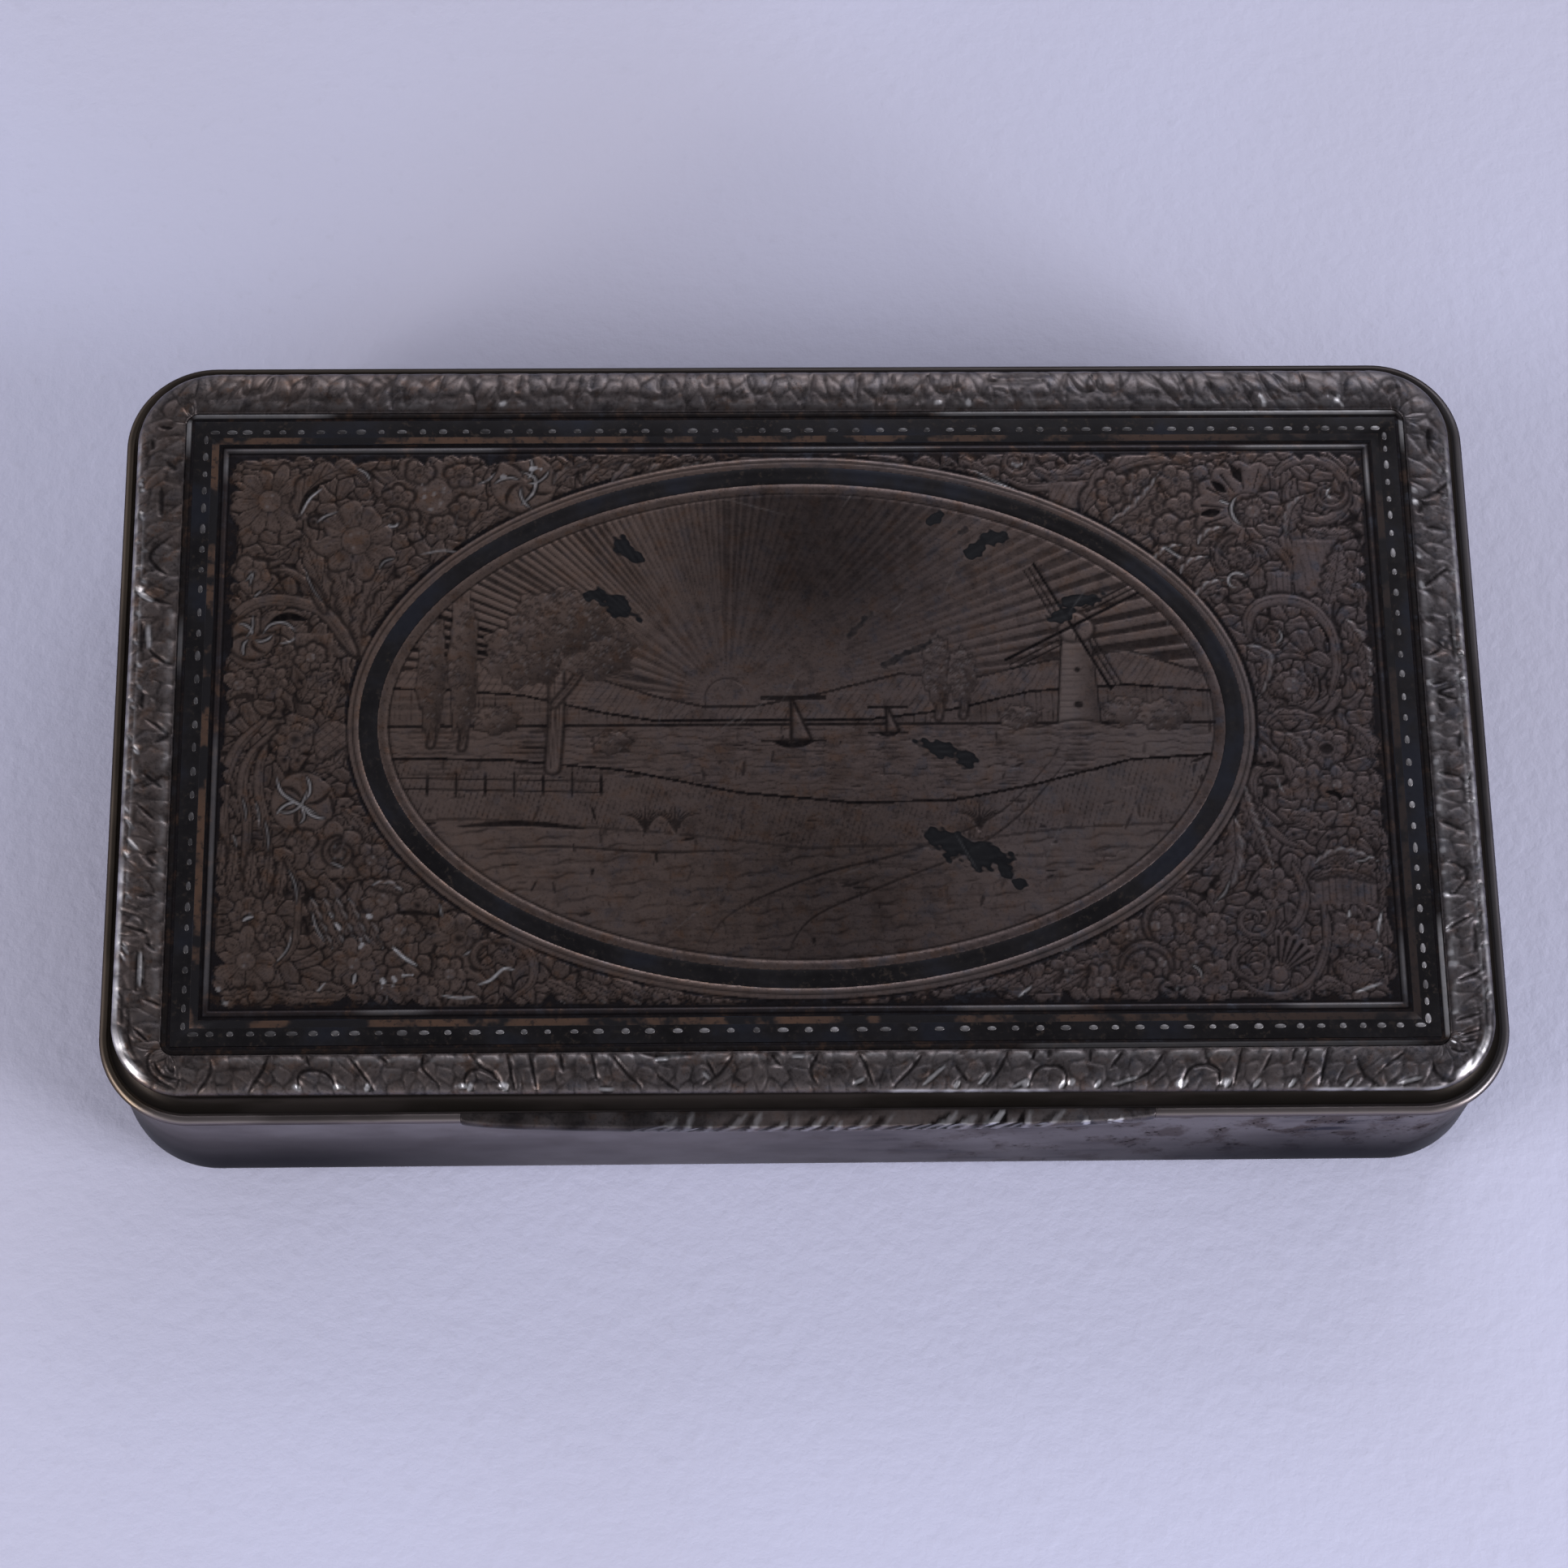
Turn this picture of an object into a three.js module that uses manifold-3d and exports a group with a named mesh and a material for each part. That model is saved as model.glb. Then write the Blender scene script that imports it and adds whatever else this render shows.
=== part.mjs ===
// Oblong pocket snuff box in silver, with a panel of black inlay on its hinged lid.
// Millimetres, +Z up, X along the box, the thumbpiece at the front (-Y) and the hinge at the back (+Y).
// The origin is the middle of the flat base, on the surface that the box stands on.
import * as THREE from "three";
import { mergeVertices } from "three/addons/utils/BufferGeometryUtils.js";
import Module from "manifold-3d";

const wasm = await Module();
wasm.setup();

// Overall outline of the lid, over its lip
const lidLength = 84;
const lidWidth = 49.5;
const lidCornerRadius = 5.5;

// Body
const bodyHeight = 11.8; // from the resting face to the parting line
const bodyCornerRadius = 6;
const wall = 0.7;
const footRadius = 2.6; // the turned-in lower edge
const lidOverhang = 0.25; // how far the lip stands out past the wall

// Bezel, the strip that the lid closes over
const bezelThickness = 0.6;
const bezelHeight = 3.4;
const bezelRise = 0.65; // how much of it stands above the wall
const bezelChamfer = 0.15;

// Lid
const shellThickness = 0.45;
const panelThickness = 0.75;
const underBorder = 0.85; // metal between the bezel's recess and the seat of the panel
const lipRadius = 0.35;
const lipWidth = 0.65;
const lipHeight = 0.75; // centre of the lip above the lid's lower edge
const lipBack = 60; // where the round of the lip ends, in degrees above its centre line
const coveWidth = 0.85;
const coveSink = 0.55; // how far the hollow lies below the seat of the border
const borderWidth = 2.7; // convex moulding and its inner fillet together
const filletWidth = 0.55;
const borderStep = 0.18; // small upright edge at the moulding's outer side
const borderCrown = 0.16; // rise of the moulding above the panel
const crownInset = 1.35; // from the moulding's outer side to its highest line
const panelCornerRadius = 0.3;
const ceilingCornerRadius = 2.5; // of the flat underside inside the lid

// Inlay
const inlayDepth = 0.3;
const frameEdge = 0.18; // bright line left round the inlaid frame
const frameBand = 1.62;
const ovalEndMargin = 11.4; // from the panel's end to the middle of the ring
const ovalSideMargin = 4.05;
const ovalBand = 1.1;

// Hinge
const hingeInset = 4.55; // from the body's end to the end of the tube
const knuckleCount = 9;
const knuckleRadius = 1;
const boreRadius = 0.5;
const pinRadius = 0.45;
const plugLength = 1.2;
const knuckleFoot = 1.1; // breadth of the foot that fixes a knuckle to its bearer
const bearerThickness = 0.8;
const lidBearerThickness = 0.4;

// Thumbpiece
const thumbLength = 41;
const thumbReach = 0.62; // how far it stands out past the lip
const thumbSeat = 0.5; // how deep it is let into the lip
const thumbUndercut = 0.2; // gap under it for the thumbnail
const thumbNose = 0.28;

// Clearances
const seat = 0.03; // between soldered or inlaid pieces
const partingGap = 0.1;
const closing = 0.15; // between bezel and lid
const running = 0.15; // round the turning knuckles
const knuckleGap = 0.12;

// Counts
const cornerSteps = 10;
const ovalSteps = 96;
const tubeSteps = 24;
const arcSteps = 6;

// Places that follow from the sizes above
const lidHalfX = lidLength / 2;
const lidHalfY = lidWidth / 2;
const bodyHalfX = lidHalfX - lidOverhang;
const bodyHalfY = lidHalfY - lidOverhang;
const lidBottom = bodyHeight + partingGap;
const recessTop = bodyHeight + bezelRise + closing;
const shellTop = recessTop + underBorder;
const panelTop = shellTop + panelThickness;
const ceiling = shellTop - shellThickness;
const frameWidth = lipWidth + coveWidth + borderWidth;
const panelHalfX = lidHalfX - frameWidth;
const panelHalfY = lidHalfY - frameWidth;
const ovalHalfX = panelHalfX - ovalEndMargin;
const ovalHalfY = panelHalfY - ovalSideMargin;

// The hinge axis lies just inside the lip and just under the lid, so the tube is out of sight from above.
const axisY = lidHalfY - knuckleGap - knuckleRadius;
const axisZ = lidBottom - knuckleGap - knuckleRadius;
const channelY = axisY - knuckleRadius - running;
const channelFloor = axisZ - knuckleRadius - running;
const hingeHalf = bodyHalfX - hingeInset;
const knucklePitch = (2 * hingeHalf) / knuckleCount;
const channelHalf = hingeHalf + running;
const bearerY = channelY - bearerThickness;

// Oblongs with rounded corners: half length, reach to the front, reach to the back, corner radius
const lidOutline = (inset, radius = lidCornerRadius - inset) => ({
  x: lidHalfX - inset,
  front: lidHalfY - inset,
  back: lidHalfY - inset,
  radius,
});
const bodyOutline = (inset) => ({
  x: bodyHalfX - inset,
  front: bodyHalfY - inset,
  back: bodyHalfY - inset,
  radius: bodyCornerRadius - inset,
});
const grown = (outline, by) => ({
  x: outline.x + by,
  front: outline.front + by,
  back: outline.back + by,
  radius: outline.radius + by,
});
const bezelOuter = { ...bodyOutline(wall + seat), back: bearerY - seat };
const bezelInner = grown(bezelOuter, -bezelThickness);
const lidRecess = grown(bezelOuter, closing);

function outlinePoints({ x, front, back, radius }) {
  const corners = [
    [x - radius, back - radius],
    [radius - x, back - radius],
    [radius - x, radius - front],
    [x - radius, radius - front],
  ];
  return corners.flatMap(([cx, cy], quarter) =>
    Array.from({ length: cornerSteps + 1 }, (_, i) => {
      const angle = (quarter + i / cornerSteps) * (Math.PI / 2);
      return new THREE.Vector2(cx + radius * Math.cos(angle), cy + radius * Math.sin(angle));
    }),
  );
}

function ellipsePoints(halfLength, halfWidth) {
  return Array.from({ length: ovalSteps }, (_, i) => {
    const angle = (i / ovalSteps) * 2 * Math.PI;
    return new THREE.Vector2(halfLength * Math.cos(angle), halfWidth * Math.sin(angle));
  });
}

// Points on an arc from one angle to another, in degrees, both ends included.
function arc(cx, cy, rx, ry, from, to, steps = arcSteps) {
  return Array.from({ length: steps + 1 }, (_, i) => {
    const angle = THREE.MathUtils.degToRad(from + ((to - from) * i) / steps);
    return [cx + rx * Math.cos(angle), cy + ry * Math.sin(angle)];
  });
}

// Skins a row of sections that have the same number of points. A closed row joins its last section to its
// first, as a ring does; an open one gets a flat cap at each end.
function skin(sections, closed) {
  const count = sections[0].length;
  const position = sections.flat().flatMap((p) => [p.x, p.y, p.z]);
  const index = [];
  const spans = closed ? sections.length : sections.length - 1;
  for (let k = 0; k < spans; k++) {
    const here = k * count;
    const next = ((k + 1) % sections.length) * count;
    for (let i = 0; i < count; i++) {
      const j = (i + 1) % count;
      index.push(here + i, here + j, next + j, here + i, next + j, next + i);
    }
  }
  if (!closed) {
    const last = (sections.length - 1) * count;
    for (let i = 1; i < count - 1; i++) {
      index.push(0, i + 1, i);
      index.push(last, last + i, last + i + 1);
    }
  }
  const geometry = new THREE.BufferGeometry();
  geometry.setAttribute("position", new THREE.Float32BufferAttribute(position, 3));
  geometry.setIndex(index);
  return geometry;
}

// Each layer is an outline and the height that it lies at.
function layered(layers, closed) {
  const sections = layers.map(([outline, z]) =>
    outlinePoints(outline).map((p) => new THREE.Vector3(p.x, p.y, z)),
  );
  return skin(sections, closed);
}

function slab(points, bottom, top, holePoints) {
  const shape = new THREE.Shape(points);
  if (holePoints) shape.holes.push(new THREE.Path(holePoints));
  const geometry = new THREE.ExtrudeGeometry(shape, { depth: top - bottom, bevelEnabled: false });
  return geometry.translate(0, 0, bottom);
}

function block(x0, x1, y0, y1, z0, z1) {
  const geometry = new THREE.BoxGeometry(x1 - x0, y1 - y0, z1 - z0);
  return geometry.translate((x0 + x1) / 2, (y0 + y1) / 2, (z0 + z1) / 2);
}

// A section drawn across the hinge, in Y and Z from its axis, and pulled along X.
function alongHinge(shape, fromX, toX) {
  const geometry = new THREE.ExtrudeGeometry(shape, { depth: toX - fromX, bevelEnabled: false });
  const turn = new THREE.Matrix4().makeBasis(
    new THREE.Vector3(0, 1, 0),
    new THREE.Vector3(0, 0, 1),
    new THREE.Vector3(1, 0, 0),
  );
  return geometry.applyMatrix4(turn).translate(fromX, axisY, axisZ);
}

function toSolid(geometry) {
  const bare = new THREE.BufferGeometry();
  bare.setAttribute("position", geometry.getAttribute("position"));
  bare.setIndex(geometry.index);
  const merged = mergeVertices(bare, 1e-4);
  const vertProperties = new Float32Array(merged.attributes.position.array);
  const triVerts = new Uint32Array(merged.index.array);
  return new wasm.Manifold(new wasm.Mesh({ numProp: 3, vertProperties, triVerts }));
}

function toGeometry(solid) {
  const mesh = solid.getMesh();
  const geometry = new THREE.BufferGeometry();
  geometry.setAttribute("position", new THREE.Float32BufferAttribute(mesh.vertProperties, 3));
  geometry.setIndex(Array.from(mesh.triVerts));
  return geometry;
}

function cut(geometry, ...tools) {
  const left = tools.reduce((solid, tool) => solid.subtract(toSolid(tool)), toSolid(geometry));
  return toGeometry(left);
}

// The channel at the back in which the hinge lies, open to the back and to the top
const channel = () =>
  block(-channelHalf, channelHalf, channelY, lidWidth, channelFloor, 2 * bodyHeight);

function bodyBand() {
  const inner = footRadius - wall;
  const outside = arc(footRadius, footRadius, footRadius, footRadius, 270, 180);
  const inside = arc(footRadius, footRadius, inner, inner, 180, 270);
  const profile = [...outside, [0, bodyHeight], [wall, bodyHeight], ...inside];
  const band = layered(
    profile.map(([inset, z]) => [bodyOutline(inset), z]),
    true,
  );
  return cut(band, channel());
}

function basePlate() {
  return slab(outlinePoints(bodyOutline(footRadius + seat)), 0, wall);
}

function bodyBezel() {
  const top = bodyHeight + bezelRise;
  const bottom = top - bezelHeight;
  const softened = grown(bezelOuter, -bezelChamfer);
  return layered(
    [
      [bezelInner, bottom],
      [bezelOuter, bottom],
      [bezelOuter, top - bezelChamfer],
      [softened, top],
      [bezelInner, top],
    ],
    true,
  );
}

// The bar fills the space between the bezel and the back wall, and runs a little way round both corners.
function bodyHingeBearer() {
  const bottom = channelFloor - bearerThickness;
  const inside = slab(outlinePoints(bodyOutline(wall + seat)), bottom, bodyHeight);
  const bezelRoom = slab(outlinePoints(grown(bezelOuter, seat)), bottom - wall, bodyHeight + wall);
  const endY = bodyHalfY - bodyCornerRadius;
  const forward = block(-lidLength, lidLength, -lidWidth, endY, bottom - wall, bodyHeight + wall);
  return cut(inside, bezelRoom, forward, channel());
}

const ring = (radius) =>
  arc(0, 0, radius, radius, 0, 360, tubeSteps)
    .slice(0, tubeSteps)
    .map(([y, z]) => new THREE.Vector2(y, z));

// A length of tube with a foot on one side, starting at X = 0. The body's knuckles stand against the wall of
// the channel, and the lid's hang from the strip above them.
function knuckle(onLid) {
  const reach = (onLid ? lidBottom - axisZ : axisY - channelY) - seat;
  const half = knuckleFoot / 2;
  const spread = THREE.MathUtils.radToDeg(Math.asin(half / knuckleRadius));
  const tube = arc(0, 0, knuckleRadius, knuckleRadius, spread - 90, 270 - spread, tubeSteps);
  const footDown = [...tube, [-half, -reach], [half, -reach]];
  const turn = onLid ? Math.PI : -Math.PI / 2;
  const centre = new THREE.Vector2();
  const section = footDown.map(([y, z]) => new THREE.Vector2(y, z).rotateAround(centre, turn));
  const shape = new THREE.Shape(section);
  shape.holes.push(new THREE.Path(ring(boreRadius)));
  return alongHinge(shape, 0, knucklePitch - knuckleGap);
}

function hingePin() {
  const half = hingeHalf - plugLength - knuckleGap;
  return alongHinge(new THREE.Shape(ring(pinRadius)), -half, half);
}

const pinPlug = () => alongHinge(new THREE.Shape(ring(boreRadius - seat)), 0, plugLength);

const lipCentre = lidBottom + lipHeight;
const stripFront = channelY + 2 * running;
const stripBack = bodyHalfY - 2 * running;
const stripTop = lidBottom + lidBearerThickness;

function lidShell() {
  const sideAngle = THREE.MathUtils.radToDeg(Math.acos(1 - lidOverhang / lipRadius));
  const lip = arc(lipRadius, lipCentre, lipRadius, lipRadius, 180 + sideAngle, lipBack, 2 * arcSteps);
  const cove = arc(lipWidth, shellTop, coveWidth, coveSink, 270, 360);
  const outside = [[lidOverhang, lidBottom], ...lip, ...cove];
  const shell = layered(
    [
      [lidOutline(frameWidth, ceilingCornerRadius), ceiling],
      [grown(bezelInner, -closing), recessTop],
      [lidRecess, recessTop],
      [lidRecess, lidBottom],
      ...outside.map(([inset, z]) => [lidOutline(inset), z]),
    ],
    false,
  );
  const thumbHalf = thumbLength / 2 + seat;
  const thumbBack = thumbSeat - lidHalfY + seat;
  const thumbRoom = block(-thumbHalf, thumbHalf, -lidWidth, thumbBack, bodyHeight, shellTop);
  const stripHalf = hingeHalf + seat;
  const stripRoom = block(
    -stripHalf,
    stripHalf,
    stripFront - seat,
    stripBack + seat,
    bodyHeight,
    stripTop + seat,
  );
  return cut(shell, thumbRoom, stripRoom);
}

const lidHingeBearer = () =>
  block(-hingeHalf, hingeHalf, stripFront, stripBack, lidBottom, stripTop);

// The moulding starts round at its outer side, like the lid, and comes in to the square corners of the panel.
function lidBorder() {
  const outer = lipWidth + coveWidth;
  const inner = frameWidth - filletWidth;
  const crown = panelTop + borderCrown;
  const step = shellTop + borderStep;
  const crownAt = outer + crownInset;
  const rising = arc(crownAt, step, crownInset, crown - step, 180, 90);
  const falling = arc(crownAt, panelTop, inner - crownAt, borderCrown, 90, 0).slice(1);
  const outerRadius = lidCornerRadius - outer;
  const radiusAt = (inset) =>
    THREE.MathUtils.mapLinear(inset, outer, frameWidth, outerRadius, panelCornerRadius);
  const profile = [
    [frameWidth, shellTop],
    [outer, shellTop],
    ...rising,
    ...falling,
    [frameWidth, panelTop],
  ];
  return layered(
    profile.map(([inset, z]) => [lidOutline(inset, radiusAt(inset)), z]),
    true,
  );
}

const oblong = (halfX, halfY) => [
  new THREE.Vector2(halfX, halfY),
  new THREE.Vector2(-halfX, halfY),
  new THREE.Vector2(-halfX, -halfY),
  new THREE.Vector2(halfX, -halfY),
];

// Both inlays and the channels that they fill, an inlay being smaller all round by its clearance.
function frameInlay(clearance, height) {
  const outer = frameEdge + clearance;
  const inner = frameEdge + frameBand - clearance;
  return slab(
    oblong(panelHalfX - outer, panelHalfY - outer),
    panelTop - inlayDepth,
    panelTop - inlayDepth + height,
    oblong(panelHalfX - inner, panelHalfY - inner),
  );
}

function ovalInlay(clearance, height) {
  const half = ovalBand / 2 - clearance;
  return slab(
    ellipsePoints(ovalHalfX + half, ovalHalfY + half),
    panelTop - inlayDepth,
    panelTop - inlayDepth + height,
    ellipsePoints(ovalHalfX - half, ovalHalfY - half),
  );
}

function lidPanel() {
  const plate = slab(
    outlinePoints(lidOutline(frameWidth + seat, panelCornerRadius)),
    shellTop,
    panelTop,
  );
  return cut(plate, frameInlay(0, panelThickness), ovalInlay(0, panelThickness));
}

// Sections across the thumbpiece, from one end to the other: it swells quickly at its shoulders and then
// slowly to the middle.
function thumbpiece() {
  const half = thumbLength / 2;
  const back = thumbSeat - lidHalfY;
  const bottom = lidBottom + thumbUndercut;
  const top = lipCentre + lipRadius;
  const sections = Array.from({ length: 2 * cornerSteps + 1 }, (_, i) => {
    const along = -Math.cos((i / (2 * cornerSteps)) * Math.PI);
    const swell = Math.sqrt(1 - along ** 4) * (1 - along ** 2 / 4);
    const front = -lidHalfY - thumbReach * swell;
    const nose = arc(front + thumbNose, top - thumbNose, thumbNose, thumbNose, 90, 180);
    const under = arc(front + thumbNose, bottom + thumbNose, thumbNose, thumbNose, 180, 270);
    const section = [[back, bottom], [back, top], ...nose, ...under];
    return section.map(([y, z]) => new THREE.Vector3(half * along, y, z));
  });
  return skin(sections, false);
}

const metal = (color, roughness) =>
  new THREE.MeshStandardMaterial({ color, roughness, metalness: 1 });
const silver = metal(0x8f8b8c, 0.35);
const wornSilver = metal(0x6f6a6a, 0.42);
const gilt = metal(0xb59a62, 0.32);
const wire = metal(0x77736f, 0.4);
const inlay = new THREE.MeshStandardMaterial({ color: 0x1d1b1f, roughness: 0.4, metalness: 0.6 });

function piece(name, geometry, material, x = 0) {
  const mesh = new THREE.Mesh(geometry, material);
  mesh.name = name;
  mesh.position.x = x;
  return mesh;
}

const body = new THREE.Group();
body.add(piece("body_band", bodyBand(), silver));
body.add(piece("base_plate", basePlate(), silver));
body.add(piece("body_bezel", bodyBezel(), gilt));
body.add(piece("body_hinge_bearer", bodyHingeBearer(), gilt));
body.add(piece("hinge_pin", hingePin(), wire));
const hingeEnd = hingeHalf - knuckleGap / 2;
body.add(piece("pin_plug_left", pinPlug(), silver, -hingeEnd));
body.add(piece("pin_plug_right", pinPlug(), silver, hingeEnd - plugLength));

const lid = new THREE.Group();
lid.add(piece("lid_shell", lidShell(), silver));
lid.add(piece("lid_panel", lidPanel(), wornSilver));
lid.add(piece("lid_border", lidBorder(), wornSilver));
lid.add(piece("niello_frame", frameInlay(seat, inlayDepth), inlay));
lid.add(piece("niello_oval", ovalInlay(seat, inlayDepth), inlay));
lid.add(piece("lid_hinge_bearer", lidHingeBearer(), silver));
lid.add(piece("thumbpiece", thumbpiece(), wornSilver));

// Odd places in the row belong to the lid, so that both end knuckles are the body's.
for (let place = 0; place < knuckleCount; place++) {
  const onLid = place % 2 === 1;
  const group = onLid ? lid : body;
  const name = `${onLid ? "lid" : "body"}_knuckle_${Math.floor(place / 2) + 1}`;
  const x = place * knucklePitch + knuckleGap / 2 - hingeHalf;
  group.add(piece(name, knuckle(onLid), silver, x));
}

const box = new THREE.Group();
box.add(body, lid);

export default box;
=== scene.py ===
import math

import bpy
import numpy as np
from mathutils import Matrix, Vector


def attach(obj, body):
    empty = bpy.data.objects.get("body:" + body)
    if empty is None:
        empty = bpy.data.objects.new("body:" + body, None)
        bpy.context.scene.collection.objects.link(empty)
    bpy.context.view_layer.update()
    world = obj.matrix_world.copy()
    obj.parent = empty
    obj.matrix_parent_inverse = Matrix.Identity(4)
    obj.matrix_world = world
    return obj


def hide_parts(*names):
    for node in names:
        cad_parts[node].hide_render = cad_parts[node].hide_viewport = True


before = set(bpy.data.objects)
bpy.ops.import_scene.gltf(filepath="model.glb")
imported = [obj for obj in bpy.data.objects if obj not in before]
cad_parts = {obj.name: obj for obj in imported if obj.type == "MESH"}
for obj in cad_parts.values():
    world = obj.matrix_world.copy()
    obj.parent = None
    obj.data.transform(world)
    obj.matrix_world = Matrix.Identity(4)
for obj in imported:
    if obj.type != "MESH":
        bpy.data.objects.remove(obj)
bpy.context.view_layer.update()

MM = 0.001

# Sizes, in millimetres.
lid_half = (41.996, 24.746)
lid_radius = 5.5
body_half = (41.75, 24.5)
body_radius = 6.0
body_top = 11.8
wall = 0.7
foot = 2.6
bezel_outer = (41.02, 23.77, 21.65, 5.27)
bezel_top = 12.45
bezel_bottom = 9.05
lid_bottom = 11.9
lip_round = 0.35
lip_middle = 12.65
cove_from = 0.65
cove_width = 0.85
cove_sink = 0.55
border_from = 1.5
border_seat = 13.45
border_step = 13.63
crown_from = 2.85
crown_top = 14.36
chasing_height = 0.06
fillet_from = 3.8
face_from = 4.2
face_top = 14.2
face_half = (37.8, 20.55)
inlay_foot = 13.9
bead_seat = 14.19
oval_half = (26.4, 16.5)
oval_band = 1.1
light_band = 0.7
frame_edge = 0.18
frame_band = 1.62
wire_inset = 2.2
bead_inset = 0.92
bead_counts = {"front": 53, "back": 56, "left": 29, "right": 31}
straight_half = (36.5, 19.25)
corner_run = 4.2
long_run = 2 * straight_half[0]
short_run = 2 * straight_half[1]
thumb_half = 20.5
thumb_tall_half = 0.45
thumb_back = -24.25
thumb_middle = 12.55
hinge_bay = ((-37.35, 22.48, 9.63), (37.35, 30, 20))
thumb_bed = ((-20.53, -30, 11.0), (20.53, -24.22, 13.45))
flange_bed = ((-37.23, 22.75, 11.0), (37.23, 24.23, 12.33))


# The camera, the light and the floor.

def place_camera():
    lens = bpy.data.cameras.new("photo_lens")
    lens.lens = 91.58
    lens.sensor_width = 36.0
    lens.sensor_fit = "HORIZONTAL"
    lens.clip_start = 0.01
    lens.clip_end = 10.0
    camera = bpy.data.objects.new("photo_camera", lens)
    bpy.context.scene.collection.objects.link(camera)
    to_camera = (
        Matrix.Rotation(math.radians(0.361), 3, "Z")
        @ Matrix.Rotation(math.radians(1.469), 3, "Y")
        @ Matrix.Rotation(math.radians(-20.823), 3, "X")
    )
    camera.matrix_world = (
        Matrix.Translation(Vector((-7.38, -89.87, 239.77)) * MM) @ to_camera.transposed().to_4x4()
    )
    bpy.context.scene.camera = camera


def softbox(name, place, aim, width, height, power, colour):
    lamp = bpy.data.lights.new(name, "AREA")
    lamp.shape = "RECTANGLE"
    lamp.size = width * MM
    lamp.size_y = height * MM
    lamp.energy = power
    lamp.color = colour
    holder = bpy.data.objects.new(name, lamp)
    bpy.context.scene.collection.objects.link(holder)
    away = Vector(place) - Vector(aim)
    holder.rotation_euler = away.to_track_quat("Z", "Y").to_euler()
    holder.location = Vector(place) * MM


def tint(red, green, blue):
    """A colour as a screen shows it, from 0 to 255, as light."""
    return tuple(
        v / 12.92 if v <= 0.04045 else ((v + 0.055) / 1.055) ** 2.4
        for v in (red / 255, green / 255, blue / 255)
    )


# Finishes.

class Wire:
    """One output of a material's nodes, so that shading sums read as plain sums."""

    def __init__(self, finish, socket):
        self.finish = finish
        self.socket = socket

    def __add__(self, other):
        return self.finish.sum("ADD", self, other)

    def __sub__(self, other):
        return self.finish.sum("SUBTRACT", self, other)

    def __rsub__(self, other):
        return self.finish.sum("SUBTRACT", other, self)

    def __mul__(self, other):
        return self.finish.sum("MULTIPLY", self, other)

    def __truediv__(self, other):
        return self.finish.sum("DIVIDE", self, other)

    __radd__ = __add__
    __rmul__ = __mul__

    def held(self):
        """Kept between 0 and 1."""
        return self.finish.node("ShaderNodeClamp", {}, Value=self)

    def spread(self, low, high):
        """0 at low, 1 at high, smooth between."""
        return self.finish.node(
            "ShaderNodeMapRange",
            {"interpolation_type": "SMOOTHSTEP"},
            Value=self,
            **{"From Min": low, "From Max": high},
        )


class Finish:
    """A material, or the room's light, in the making."""

    def __init__(self, name, kind="materials"):
        self.material = getattr(bpy.data, kind).new(name)
        self.material.use_nodes = True
        self.tree = self.material.node_tree
        self.tree.nodes.clear()
        measured = "Object" if kind == "materials" else "Generated"
        self.place = self.node("ShaderNodeTexCoord", {}, take=measured)

    def node(self, kind, settings, take=0, **values):
        made = self.tree.nodes.new(kind)
        for name, value in settings.items():
            setattr(made, name, value)
        for name, value in values.items():
            key = int(name[1:]) if name[0] == "_" and name[1:].isdigit() else name
            socket = made.inputs[key]
            if isinstance(value, Wire):
                self.tree.links.new(value.socket, socket)
            else:
                socket.default_value = value
        return Wire(self, made.outputs[take]) if made.outputs else made

    def sum(self, operation, first, second):
        return self.node("ShaderNodeMath", {"operation": operation}, _0=first, _1=second)

    def blend(self, first, second, share):
        """Two colours mixed, the second by its share."""
        pair = [v if isinstance(v, Wire) else (*v, 1.0) for v in (first, second)]
        return self.node(
            "ShaderNodeMix", {"data_type": "RGBA"}, take=2, Factor=share, _6=pair[0], _7=pair[1]
        )

    def read(self, layer):
        """A value that the mesh carries."""
        return self.node("ShaderNodeAttribute", {"attribute_name": layer}, take="Fac")

    def along(self, axis):
        """The place along X, Y or Z in millimetres."""
        return self.node("ShaderNodeSeparateXYZ", {}, take=axis, Vector=self.place) * 1000.0

    def cloud(self, size, detail, roughness=0.55, stretch=(1, 1, 1), shift=(0, 0, 0)):
        """Soft noise whose blotches are about so many millimetres."""
        moved = self.node(
            "ShaderNodeMapping",
            {},
            Vector=self.place,
            Location=shift,
            Scale=tuple(s / (size * MM) for s in stretch),
        )
        return self.node(
            "ShaderNodeTexNoise", {}, Vector=moved, Scale=1.0, Detail=detail, Roughness=roughness
        )

    def bump(self, height, distance):
        """Relief of so many millimetres in the shading alone."""
        return self.node("ShaderNodeBump", {}, Height=height, Distance=distance * MM)

    def surface(self, colour, metallic, roughness, normal, rim=1.0):
        shader = self.node(
            "ShaderNodeBsdfPrincipled",
            {},
            Metallic=metallic,
            Roughness=roughness,
            Normal=normal,
            **{"Base Color": colour, "Specular Tint": (rim, rim, rim, 1.0)},
        )
        self.node("ShaderNodeOutputMaterial", {}, Surface=shader)
        return self.material


def light_room():
    """Soft light all round, lower overhead, so that the metal has something to show."""
    f = Finish("room", "worlds")
    up = f.node("ShaderNodeSeparateXYZ", {}, take="Z", Vector=f.place)
    level = 1.06 - 0.82 * up.spread(0.3, 0.85)
    light = f.node("ShaderNodeBackground", {}, Color=(0.93, 0.94, 1.0, 1.0), Strength=level)
    f.node("ShaderNodeOutputWorld", {}, Surface=light)
    return f.material


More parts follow.
